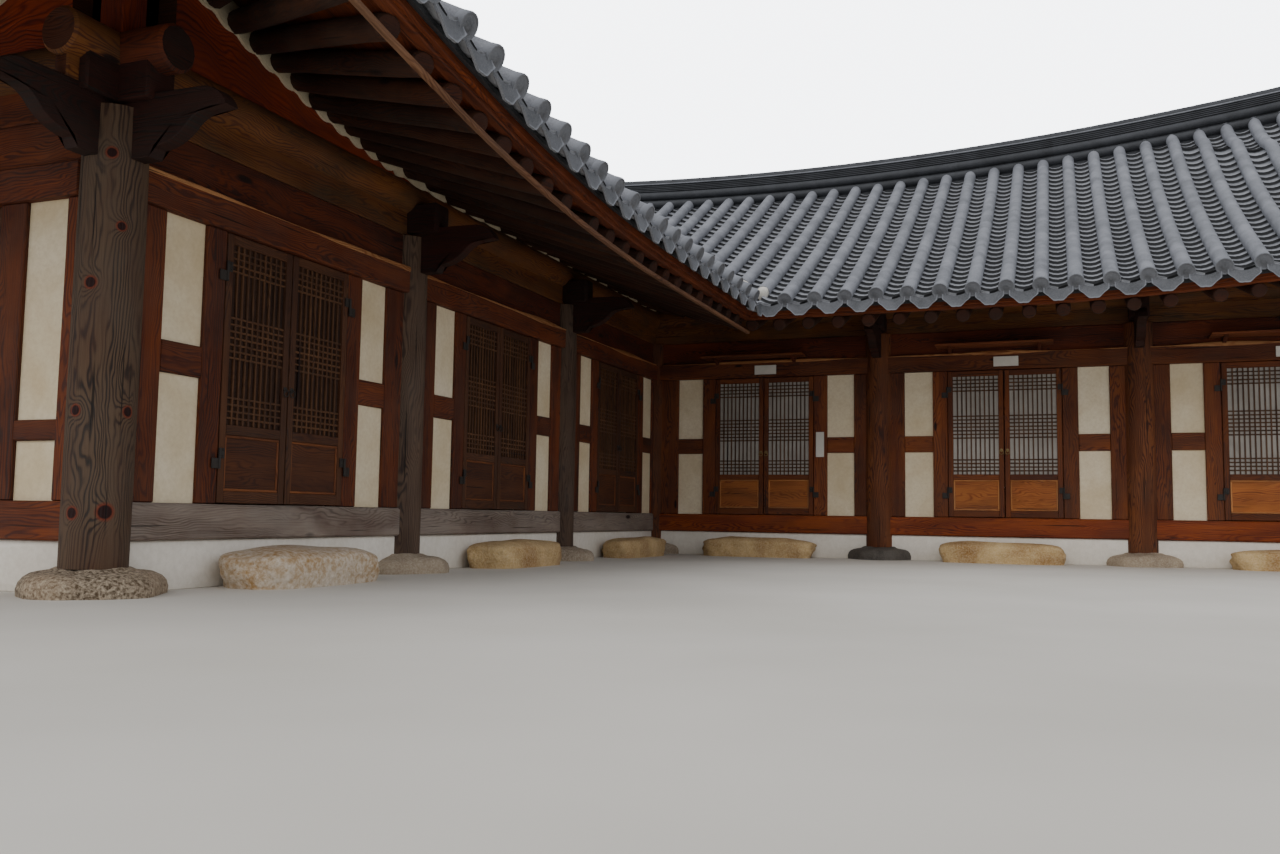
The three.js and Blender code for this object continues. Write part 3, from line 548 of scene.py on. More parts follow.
def log(start: Sequence[float], end: Sequence[float], radius: float, sides: int = 14) -> Patch:
    """A round timber between two points, a little bent, its rim chamfered.

    Args:
        start: The middle of one end.
        end: The middle of the other.
        radius: The radius.
        sides: The sides of the section.

    Returns:
        The patch, with its end grain as finish number 1.
    """
    p, q = np.array(start, float), np.array(end, float)
    length = float(np.linalg.norm(q - p))
    rim = 0.12 * radius
    at = np.concatenate([[0.0], np.linspace(rim, length - rim, max(3, int(length / 0.5))), [length]])
    path = p + (q - p) * (at / length)[:, None]
    path[:, 2] += waver(at, 0.004) - waver(np.zeros(1), 0.004)
    scale = 1 + waver(at * 1.7, 0.015)
    scale[[0, -1]] *= 0.88
    return sweep(circle(radius, sides), path, scale, 1)


def plate(outline: Array, thickness: float, bevel: float) -> Patch:
    """A flat upright plate across the wall, with softened edges and centred on its middle plane.

    The outline is carried through four rings across the thickness, inset at both faces.

    Args:
        outline: Points (w, z) anticlockwise, star-shaped about their mean.
        thickness: The plate's thickness.
        bevel: The inset of both faces.

    Returns:
        The patch.
    """
    ahead = unit(np.roll(outline, -1, 0) - outline)
    back = unit(outline - np.roll(outline, 1, 0))
    tangent = unit(ahead + back)
    inward = np.stack([-tangent[:, 1], tangent[:, 0]], 1)
    share = bevel / thickness
    rings = []
    for depth, inset in ((-0.5, bevel), (share - 0.5, 0.0), (0.5 - share, 0.0), (0.5, bevel)):
        flat = outline + inward * inset
        rings.append(np.concatenate([np.full((len(flat), 1), depth * thickness), flat], 1))
    closed = np.concatenate([outline, outline[:1]])
    uv = np.broadcast_to(closed + (0.0, IDS.next()), (4, len(closed), 2))
    return grid_patch(np.stack(rings), uv)


class RoofShape:
    """The roof's surfaces of one wing, as functions over arrays of wing coordinates."""

    def __init__(self, side: Side) -> None:
        """Keeps the wing's plan and the three convex corners of its eaves."""
        self.plan = PLANS[side]
        end = self.plan.eave_end
        self.corners = ((end, -EAVE_OUT, 1, -1), (end, EAVE_FAR, 1, 1), (-EAVE_FAR, EAVE_FAR, -1, 1))

    @staticmethod
    def pull(distance: Array) -> Array:
        """How strongly a corner acts at a distance: (1 - distance / reach) to a power."""
        return np.maximum(0.0, 1 - distance / CORNER_REACH) ** CORNER_POWER

    @staticmethod
    def along_eave(inwards: Array, along: Array) -> Array:
        """How far from a corner the rafter through a point reaches the eave.

        Near a corner the rafters fan out from a point that lies half a span from it both ways;
        with s the half span this is s - (s - along) * s / (s - inwards). Further off it is along.
        """
        room = np.maximum(HALF_SPAN - inwards, 1e-6)
        return np.where(along >= HALF_SPAN, along, HALF_SPAN - (HALF_SPAN - along) * HALF_SPAN / room)

    def lift(self, u: Array, v: Array) -> Array:
        """The rise towards the corners; a rafter keeps the rise of its tip all along."""
        total = 0.0
        for cu, cv, _, _ in self.corners:
            du, dv = np.abs(u - cu), np.abs(v - cv)
            total = total + CORNER_RISE * self.pull(self.along_eave(np.minimum(du, dv), np.maximum(du, dv)))
        return total

    def wedge_top(self, s: Array, w: float, wall: Wall) -> Array:
        """The top of the wedge timber on a wall's purlin: it rises with the rafters' tips."""
        u, v = {
            Wall.COURT: (s, WEDGE_W[0]),
            Wall.OUTER: (s, OUTER_FACE - WEDGE_W[0]),
            Wall.END: (self.plan.end_face - WEDGE_W[0], s),
        }[wall]
        rise = WEDGE_SHARE * self.lift(np.asarray(u, float), np.asarray(v, float))
        return RAFTER_AXIS - WEDGE_UNDER_AXIS + rise + LOWER_SLOPE * (w - COLUMN_SET_IN)

    def flared(self, u: Array, v: Array) -> tuple[Array, Array]:
        """The point moved outwards in plan near the corners, fading inwards from the eave."""

        def push(inwards: Array, along: Array) -> Array:
            """The move away from the eave: it fades inwards and away from the corner."""
            return CORNER_FLARE * self.pull(along) * np.maximum(0, 1 - inwards / GABLE)

        du, dv = 0.0, 0.0
        for cu, cv, su, sv in self.corners:
            from_u, from_v = np.abs(u - cu), np.abs(v - cv)
            du = du + su * push(from_u, from_v)
            dv = dv + sv * push(from_v, from_u)
        return u + du, v + dv

    def tile_top(self, u: Array, v: Array, d: Array) -> Array:
        """The middle height of the tiles at a distance d from the eave: a slightly hollow slope."""
        t = d / HALF_SPAN
        along = np.clip(u, -MIDDLE_LINE, self.plan.end_face - GABLE_SET_IN) - RIDGE_LOW_POINT
        slope = TILE_TOP + (RIDGE_SURFACE - TILE_TOP) * t - 4 * ROOF_SAG * t * (1 - t)
        return slope + self.lift(u, v) * (1 - t) + RIDGE_CURVE * along * along * t * t

    def deck_top(self, u: Array, v: Array, d: Array) -> Array:
        """The top of the roof boards: a low slope up to the middle purlin, then a steep one."""
        inside = d - EAVE_OUT
        slope = LOWER_SLOPE * (np.minimum(inside, MIDDLE_PURLIN) - COLUMN_SET_IN)
        slope = slope + UPPER_SLOPE * np.maximum(0, inside - MIDDLE_PURLIN)
        fade = np.clip(1 - (inside - COLUMN_SET_IN) / (MIDDLE_LINE - COLUMN_SET_IN), 0, 1)
        return RAFTER_AXIS + DECK_ABOVE_AXIS + slope + self.lift(u, v) * fade

    def surface(self, height: Callable, u: Array, v: Array, d: Array, rise: float | Array = 0.0) -> Array:
        """Points of one of the surfaces, flared in plan.

        Args:
            height: tile_top or deck_top.
            u: Distances along the wing.
            v: Distances into the wing.
            d: Distances from the nearest eave.
            rise: Added to the height.

        Returns:
            Points of shape (..., 3) in wing coordinates.
        """
        x, y = self.flared(u, v)
        return np.stack([x, y, height(u, v, d) + rise], -1)


def slab(top: Array, bottom: Array, uv: Array) -> Patch:
    """A closed sheet between an upper and a lower grid of the same shape.

    Quad (i, j) has the corners (i, j), (i + 1, j), (i + 1, j + 1) and (i, j + 1), so that step i
    crossed with step j points out of the upper grid; the rim joins both grids' edges.

    Args:
        top: The upper grid, of shape (rows, columns, 3).
        bottom: The lower grid.
        uv: The map of the upper grid, of shape (rows, columns, 2).

    Returns:
        The patch.
    """
    rows, columns = top.shape[:2]
    index = np.arange(rows * columns).reshape(rows, columns)
    count = rows * columns
    a, b, c, d = index[:-1, :-1], index[1:, :-1], index[1:, 1:], index[:-1, 1:]
    upper = np.stack([a, b, c, d], -1).reshape(-1, 4)
    rim = np.concatenate([index[:-1, 0], index[-1, :-1], index[:0:-1, -1], index[0, :0:-1]])
    after = np.roll(rim, -1)
    sides = np.stack([rim, rim + count, after + count, after], 1)
    faces = np.concatenate([upper, upper[:, ::-1] + count, sides])
    flat_uv = np.concatenate([uv.reshape(-1, 2)] * 2)
    points = np.concatenate([top.reshape(-1, 3), bottom.reshape(-1, 3)])
    return Patch(points, (faces,), (flat_uv[faces],), (np.zeros(len(faces), int),))


def lathe(profile: Array, sides: int, origin: Array, axis: Array) -> Patch:
    """Turns a profile of (reach along the axis, radius) points round an axis.

    Args:
        profile: Points from the back, over the rim and across the front.
        sides: The sides of each ring.
        origin: The foot of the axis.
        axis: The direction that the front faces.

    Returns:
        The patch.
    """
    axis = unit(np.asarray(axis, float))
    side = unit(np.cross(UP, axis)) if abs(axis[2]) < 0.9 else np.array([1.0, 0.0, 0.0])
    up = np.cross(axis, side)
    t = turns(sides)
    around = np.cos(t)[:, None] * side + np.sin(t)[:, None] * up
    points = origin + profile[:, 0, None, None] * axis + profile[:, 1, None, None] * around
    turn = np.append(t, 2 * math.pi) * profile[:, 1].max()
    return grid_patch(points, mesh_map(distances(profile), turn + IDS.next()))


class Slope(Enum):
    """The slopes of one wing's roof."""

    COURT = "court"
    OUTER = "outer"
    END = "end"


@dataclass(frozen=True)
class SlopePlan:
    """One slope: a point on it is given by its place along the eave and its distance from it."""

    roof: RoofShape
    kind: Slope

    def plan(self, along: Array, d: Array) -> tuple[Array, Array]:
        """The wing coordinates of a point."""
        if self.kind is Slope.COURT:
            return along + 0 * d, d - EAVE_OUT + 0 * along
        if self.kind is Slope.OUTER:
            return along + 0 * d, EAVE_FAR - d + 0 * along
        return self.roof.plan.eave_end - d + 0 * along, along + 0 * d

    def limits(self, d: Array, gable: float = GABLE) -> tuple[Array, Array]:
        """Where the slope starts and stops along the eave, at a distance from it."""
        end = self.roof.plan.eave_end - np.minimum(d, gable)
        if self.kind is Slope.COURT:
            return EAVE_OUT - d, end
        if self.kind is Slope.OUTER:
            return d - EAVE_FAR, end
        return d - EAVE_OUT, EAVE_FAR - d

    def row_span(self, along: float) -> Range:
        """The distances between which a row of tiles runs up the slope."""
        end = self.roof.plan.eave_end
        top = HALF_SPAN if along <= end - GABLE else end - along
        if self.kind is Slope.COURT:
            return max(0.0, EAVE_OUT - along), top
        if self.kind is Slope.OUTER:
            return 0.0, min(top, EAVE_FAR + along)
        return 0.0, min(GABLE, along + EAVE_OUT, EAVE_FAR - along)

    def rows(self, shift: float = 0.0) -> Array:
        """The places of the tile rows along the eave, a pitch apart."""
        low, high = (float(value) for value in self.limits(np.array(0.0)))
        if self.kind is Slope.END:
            first = MIDDLE_LINE + shift - TILE_PITCH * math.floor((MIDDLE_LINE - low) / TILE_PITCH)
        else:
            low = -MIDDLE_LINE if self.kind is Slope.COURT else low
            first = FIRST_TILE_ROW + shift - TILE_PITCH * math.floor((FIRST_TILE_ROW - low) / TILE_PITCH)
        return np.arange(first, high - 0.08, TILE_PITCH)

    def line(self, height: Callable, along: float, d: Array, rise: float | Array = 0.0) -> Array:
        """Points of a surface up the slope at one place along the eave."""
        u, v = self.plan(np.full_like(d, along), d)
        return self.roof.surface(height, u, v, d, rise)

    def sheet(self, height: Callable, rows: Array, stations: int, under: float, over: float) -> Patch:
        """A closed sheet over the slope, between two offsets from one of the surfaces.

        Args:
            height: tile_top or deck_top.
            rows: Distances from the eave.
            stations: The number of points along each row.
            under: The lower offset.
            over: The upper offset.

        Returns:
            The patch; its grain runs along the eave and each row is a board.
        """
        low, high = self.limits(rows)
        share = np.linspace(0, 1, stations)[:, None]
        along = low + (high - low) * share
        d = np.broadcast_to(rows, along.shape)
        u, v = self.plan(along, d)
        grids = [self.roof.surface(height, u, v, d, rise) for rise in (over, under)]
        uv = np.stack([along, d + IDS.next()], -1)
        if self.kind is Slope.OUTER:
            grids, uv = [grid[::-1] for grid in grids], uv[::-1]
        return slab(grids[0], grids[1], uv)


def linear(tint: str) -> tuple[float, float, float, float]:
    """A colour given by its six hex digits, in linear light: ((c + 0.055) / 1.055) ** 2.4."""
    values = [int(tint[i : i + 2], 16) / 255 for i in (0, 2, 4)]
    red, green, blue = (((c + 0.055) / 1.055) ** 2.4 for c in values)
    return red, green, blue, 1.0


class Graph:
    """Short calls that make shader nodes and join them."""

    def __init__(self, tree: bpy.types.NodeTree) -> None:
        """Works on one node tree."""
        self.tree = tree

    def node(self, kind: str, inputs: dict | None = None, **settings: object) -> bpy.types.Node:
        """Makes a node, sets its properties and fills its inputs with values or links.

        Args:
            kind: The node's type, without its prefix.
            inputs: Values or sockets by input name or number.
            settings: Properties of the node.

        Returns:
            The node.
        """
        made = self.tree.nodes.new("ShaderNode" + kind)
        for key, value in settings.items():
            setattr(made, key, value)
        return self.fill(made, inputs or {})

    def fill(self, node: bpy.types.Node, inputs: dict) -> bpy.types.Node:
        """Fills a node's inputs with values or links."""
        for key, value in inputs.items():
            if isinstance(value, bpy.types.NodeSocket):
                self.tree.links.new(value, node.inputs[key])
            else:
                node.inputs[key].default_value = value
        return node

    def math(self, operation: str, a: object, b: object = 0.0, clamp: bool = False) -> bpy.types.NodeSocket:
        """A Math node's result."""
        return self.node("Math", {0: a, 1: b}, operation=operation, use_clamp=clamp).outputs[0]

    def times(self, a: object, b: object, clamp: bool = False) -> bpy.types.NodeSocket:
        """The product of two values."""
        return self.math("MULTIPLY", a, b, clamp)

    def plus(self, a: object, b: object, clamp: bool = False) -> bpy.types.NodeSocket:
        """The sum of two values."""
        return self.math("ADD", a, b, clamp)

    def minus(self, a: object, b: object) -> bpy.types.NodeSocket:
        """The difference of two values."""
        return self.math("SUBTRACT", a, b)

    def mix(self, factor: object, a: object, b: object, blend: str = "MIX") -> bpy.types.NodeSocket:
        """A colour between or made from two colours."""
        made = self.node("Mix", {0: factor, 6: a, 7: b}, data_type="RGBA", blend_type=blend)
        return made.outputs[2]

    def ramp(self, factor: object, stops: Sequence[tuple[float, str]]) -> bpy.types.NodeSocket:
        """A colour ramp through the given colours."""
        made = self.node("ValToRGB", {0: factor})
        elements = made.color_ramp.elements
        while len(elements) < len(stops):
            elements.new(0.5)
        for element, (place, tint) in zip(elements, stops):
            element.position = place
            element.color = linear(tint)
        return made.outputs[0]

    def noise(
        self, vector: object, scale: float, detail: float = 2.0, rough: float = 0.5, bend: float = 0.0
    ) -> bpy.types.NodeSocket:
        """A noise value between 0 and 1."""
        inputs = {"Vector": vector, "Scale": scale, "Detail": detail, "Roughness": rough, "Distortion": bend}
        return self.node("TexNoise", inputs).outputs["Fac"]

    def span(self, value: object, old: Range, new: Range = (0.0, 1.0)) -> bpy.types.NodeSocket:
        """A value carried from one range to another and kept inside it."""
        inputs = {0: value, 1: old[0], 2: old[1], 3: new[0], 4: new[1]}
        return self.node("MapRange", inputs, clamp=True).outputs[0]

    def vector(self, x: object, y: object, z: object = 0.0) -> bpy.types.NodeSocket:
        """A vector from three values."""
        return self.node("CombineXYZ", {0: x, 1: y, 2: z}).outputs[0]

    def split(self, vector: object) -> tuple[bpy.types.NodeSocket, ...]:
        """The three values of a vector."""
        return tuple(self.node("SeparateXYZ", {0: vector}).outputs)

    def place(self) -> bpy.types.NodeSocket:
        """The object coordinates, in metres in the model's frame."""
        return self.node("TexCoord").outputs["Object"]

    def map(self) -> bpy.types.NodeSocket:
        """The grain map of a piece."""
        return self.node("UVMap", uv_map=GRAIN_MAP).outputs[0]

    def group(self, tree: bpy.types.NodeTree, inputs: dict) -> bpy.types.Node:
        """A group node with its inputs filled."""
        return self.node("Group", inputs, node_tree=tree)

    def bump(self, height: object, strength: float, distance: float) -> bpy.types.NodeSocket:
        """A normal bent by a height."""
        return self.node("Bump", {"Height": height, "Strength": strength, "Distance": distance}).outputs[0]

    def surface(
        self, shader: bpy.types.Node, colour: object, rough: object, normal: object, gloss: float
    ) -> None:
        """Fills the shader of an opaque surface."""
        inputs = {"Base Color": colour, "Roughness": rough, "Normal": normal, "Specular IOR Level": gloss}
        self.fill(shader, inputs)


VALUE, VECTOR = "NodeSocketFloat", "NodeSocketVector"


def shader_group(
    name: str, inputs: dict[str, str], outputs: Sequence[str], fill: Callable
) -> bpy.types.NodeTree:
    """Builds a shader node group once.

    Args:
        name: The group's name.
        inputs: The socket kind of each input by name.
        outputs: The names of its values.
        fill: Makes the nodes from the graph and the input sockets and returns a socket per output.

    Returns:
        The group's node tree.
    """
    found = bpy.data.node_groups.get(name)
    if found:
        return found
    tree = bpy.data.node_groups.new(name, "ShaderNodeTree")
    for label, kind in inputs.items():
        tree.interface.new_socket(name=label, in_out="INPUT", socket_type=kind)
    for label in outputs:
        tree.interface.new_socket(name=label, in_out="OUTPUT", socket_type=VALUE)
    start = tree.nodes.new("NodeGroupInput")
    end = tree.nodes.new("NodeGroupOutput")
    for label, value in fill(Graph(tree), start.outputs).items():
        tree.links.new(value, end.inputs[label])
    return tree


def grain_group() -> bpy.types.NodeTree:
    """Wood grain from the grain map: growth lines are contour lines of a slow, stretched noise.

    The lines bend round knots, which are the near cells of a stretched Voronoi pattern; fibres and
    cracks are noises stretched further still. Every board has its own random value.
    """

    def fill(g: Graph, given: dict) -> dict:
        along, lane, _ = g.split(given["Map"])
        board = g.math("FLOOR", g.math("DIVIDE", lane, ID_STEP))
        across = g.minus(lane, g.times(board, ID_STEP))
        chance = g.node("TexWhiteNoise", {"W": board}, noise_dimensions="1D").outputs["Value"]
        start = g.plus(along, g.times(chance, 37.0))

        def stretched(lengthwise: float, crosswise: float, detail: float, bend: float = 0.0) -> object:
            """A noise over the board with its own scale along and across the grain."""
            x, y = g.times(start, lengthwise), g.times(across, crosswise)
            return g.noise(g.vector(x, y, board), 1.0, detail, 0.5, bend)

        cells = g.vector(g.times(start, 1.3), g.times(across, 4.0), board)
        knot = g.node("TexVoronoi", {"Vector": cells, "Scale": given["Knots"]}, voronoi_dimensions="3D")
        near = knot.outputs["Distance"]
        bend = g.times(g.math("POWER", g.span(near, (0.0, 0.45), (1.0, 0.0)), 2.0), 0.06)
        bend = g.plus(bend, given["Bend"])
        slow = stretched(1.1, 4.5, 3.0, 0.3)
        level = g.plus(g.times(slow, 0.35), g.plus(across, bend))
        wave = g.math("SINE", g.times(level, given["Rings"]))
        line = g.math("POWER", g.span(wave, (-1.0, 1.0)), 2.5)
        rings = g.minus(1.0, g.times(line, g.span(stretched(0.8, 9.0, 1.0), (0.3, 0.6))))
        fibre = stretched(3.0, 160.0, 3.0)
        broad = stretched(0.7, 7.0, 2.0)
        crack = g.span(stretched(1.1, 45.0, 1.0), (0.68, 0.74))
        tone = g.plus(g.times(rings, given["Figure"]), g.times(fibre, 0.34))
        tone = g.plus(tone, g.times(broad, g.minus(0.8, given["Figure"])), True)
        relief = g.minus(g.plus(g.times(rings, 0.5), fibre), crack)
        return {
            "Tone": tone,
            "Knot": g.span(near, (0.05, 0.09), (1.0, 0.0)),
            "Crack": crack,
            "Board": chance,
            "Relief": relief,
            "Stain": g.span(stretched(1.6, 5.0, 4.0, 0.6), (0.42, 0.66)),
        }

    inputs = {name: VALUE for name in ("Knots", "Rings", "Figure", "Bend")}
    outputs = ("Tone", "Knot", "Crack", "Board", "Relief", "Stain")
    return shader_group("Grain", {"Map": VECTOR, **inputs}, outputs, fill)


def speckle_group() -> bpy.types.NodeTree:
    """Blotches, specks and pits of stone, plaster or fired clay, as noises of three sizes."""

    def fill(g: Graph, given: dict) -> dict:
        inputs = {0: given["Place"], "Scale": given["Size"]}
        vector = g.node("VectorMath", inputs, operation="SCALE").outputs[0]
        blotch = g.noise(vector, 1.0, 4.0, 0.6, 0.4)
        speck = g.noise(vector, 24.0, 2.0, 0.7)
        cells = g.node("TexVoronoi", {"Vector": vector, "Scale": 16.0}).outputs["Distance"]
        return {"Blotch": g.span(blotch, (0.3, 0.7)), "Speck": g.span(speck, (0.35, 0.68)), "Pit": cells}

    return shader_group("Speckle", {"Place": VECTOR, "Size": VALUE}, ("Blotch", "Speck", "Pit"), fill)


def new_material(name: str) -> tuple[bpy.types.Material, Graph, bpy.types.Node]:
    """A material with its graph and its shader."""
    material = bpy.data.materials.new(name)
    material.use_nodes = True
    return material, Graph(material.node_tree), material.node_tree.nodes["Principled BSDF"]


@dataclass(frozen=True)
class Wood:
    """Sawn or rounded wood, from fresh red pine to grey weathered timber."""

    name: str
    dark: str
    middle: str
    light: str
    knot: str = "1c0a05"
    grey: str = "6d6459"
    worn: float = 0.15
    knots: float = 0.8
    rings: float = 320.0
    figure: float = 0.3
    stain: str = "2a1208"
    stained: float = 0.35
    crack: str = "0c0705"
    branch_rim: str = "7a2a0e"
    branch_heart: str = "230503"
    rough: Range = (0.62, 0.85)
    relief: float = 0.5
    depth: float = 0.004
    gloss: float = 0.35
    branches: tuple[tuple[float, float, float, float], ...] = ()

    def make(self) -> bpy.types.Material:
        """Builds the material."""
        material, g, shader = new_material(self.name)
        near = self.near_branch(g)
        bend = g.times(g.math("POWER", g.span(near, (1.0, 4.0), (1.0, 0.0)), 2.0), 0.07)
        inputs = {"Knots": self.knots, "Rings": self.rings, "Figure": self.figure, "Bend": bend}
        grain = g.group(grain_group(), {"Map": g.map(), **inputs}).outputs
        wear = g.noise(g.place(), 2.3, 4.0, 0.65)
        colour = g.ramp(grain["Tone"], ((0.28, self.dark), (0.55, self.middle), (0.85, self.light)))
        shade = g.span(grain["Board"], (0.0, 1.0), (0.72, 1.15))
        colour = g.mix(1.0, colour, g.vector(shade, shade, shade), "MULTIPLY")
        for share, tint in (
            (g.times(grain["Stain"], self.stained), self.stain),
            (g.times(g.span(wear, (0.35, 0.75)), self.worn * 2, True), self.grey),
            (grain["Knot"], self.knot),
            (g.span(near, (1.0, 1.5), (0.75, 0.0)), self.branch_rim),
            (g.span(near, (0.85, 1.05), (1.0, 0.0)), self.branch_heart),
            (g.times(grain["Crack"], 0.8), self.crack),
        ):
            colour = g.mix(share, colour, linear(tint))
        rough = g.span(grain["Tone"], (0.2, 0.9), self.rough)
        g.surface(shader, colour, rough, g.bump(grain["Relief"], self.relief, self.depth), self.gloss)
        return material

    def near_branch(self, g: Graph) -> bpy.types.NodeSocket | float:
        """The distance to the nearest large branch knot, as a multiple of that knot's radius."""
        near = 10.0
        for x, y, z, radius in self.branches:
            away = g.node("VectorMath", {0: g.place(), 1: (x, y, z)}, operation="DISTANCE").outputs["Value"]
            near = g.math("MINIMUM", near, g.math("DIVIDE", away, radius))
        return near


@dataclass(frozen=True)
class Mineral:
    """Plaster, stone, paper or plain fired clay with blotches, specks and a rough surface."""

    name: str
    dark: str
    light: str
    speck: str
    size: float = 3.0
    specks: float = 0.3
    rough: float = 0.88
    relief: float = 0.25
    depth: float = 0.004
    gloss: float = 0.3

    def make(self) -> bpy.types.Material:
        """Builds the material."""
        material, g, shader = new_material(self.name)
        marks = g.group(speckle_group(), {"Place": g.place(), "Size": self.size}).outputs
        colour = g.ramp(marks["Blotch"], ((0.1, self.dark), (0.9, self.light)))
        colour = g.mix(g.times(marks["Speck"], self.specks), colour, linear(self.speck))
        height = g.plus(marks["Blotch"], g.times(marks["Speck"], 0.4))
        height = g.plus(height, g.times(marks["Pit"], 0.3))
        rough = g.span(marks["Speck"], (0.0, 1.0), (self.rough - 0.08, self.rough + 0.05))
        g.surface(shader, colour, rough, g.bump(height, self.relief, self.depth), self.gloss)
        return material


@dataclass(frozen=True)
class Clay:
    """Grey roof tile: each tile has its own tone and fine light specks, with a painted highlight on its lower
    lip and, where set, painted shadow towards its top, under the next tile's lip.
    """

    name: str
    dark: str = "55575c"
    light: str = "7b7d83"
    speck: str = "a3a5a9"
    # lip: the colour of the painted highlight on each tile's lower lip, where the tile catches the light.
    lip: str = "8f9196"
    lip_highlight_width: float = 0.0
    shadow: float = 0.0
    shadow_tint: str = "101114"
    vary: float = 0.15
    rough: Range = (0.62, 0.8)
    relief: float = 0.3
    depth: float = 0.003
    gloss: float = 0.4

    def make(self) -> bpy.types.Material:
        """Builds the material."""
        material, g, shader = new_material(self.name)
        along, lane, _ = g.split(g.map())
        row = g.math("FLOOR", g.math("DIVIDE", lane, ID_STEP))
        tile = g.vector(g.math("FLOOR", along), row)
        chance = g.node("TexWhiteNoise", {"Vector": tile}, noise_dimensions="3D").outputs["Value"]
        marks = g.group(speckle_group(), {"Place": g.place(), "Size": 4.0}).outputs
        tone = g.plus(g.times(chance, self.vary), g.times(marks["Blotch"], 1 - self.vary))
        colour = g.ramp(tone, ((0.1, self.dark), (0.9, self.light)))
        colour = g.mix(g.times(marks["Speck"], 0.3), colour, linear(self.speck))
        share = g.math("FRACT", along)
        # Painted highlight: each tile's lower lip is mixed towards the lighter lip colour, fading up the
        # tile.
        if self.lip_highlight_width:
            colour = g.mix(g.span(share, (0.0, self.lip_highlight_width), (0.75, 0.0)), colour, linear(self.lip))
        # Painted shadow: each tile darkens towards its top, where the next tile's lip lies over it.
        if self.shadow:
            shade = g.span(share, (0.5, 0.82), (0.0, self.shadow))
            colour = g.mix(shade, colour, linear(self.shadow_tint))
        height = g.plus(marks["Speck"], g.times(marks["Pit"], 0.5))
        rough = g.span(marks["Speck"], (0.0, 1.0), self.rough)
        g.surface(shader, colour, rough, g.bump(height, self.relief, self.depth), self.gloss)
        return material


KNOT_REACH = 0.167


def near_knots() -> tuple[tuple[float, float, float, float], ...]:
    """The middle and radius of each branch knot on the last courtyard column of the left wing.

    A row gives the knot's heading round the column in degrees, its height and its radius.
    """
    axis = np.array([PLANS[Side.LEFT].columns[-1], COLUMN_SET_IN, 0.0])
    x, y, _ = (float(value) for value in wall_place(Side.LEFT, Wall.COURT).points(axis))
    found = []
    for heading, height, radius in (
        (-29.0, 0.422, 0.036),
        (-84.8, 0.415, 0.028),
        (-73.3, 1.579, 0.028),
        (-26.7, 1.880, 0.022),
        (-49.1, 2.256, 0.026),
        (-89.0, 0.929, 0.026),
        (3.1, 0.933, 0.026),
    ):
        turn = math.radians(heading)
        found.append((x + KNOT_REACH * math.cos(turn), y + KNOT_REACH * math.sin(turn), height, radius))
    return tuple(found)


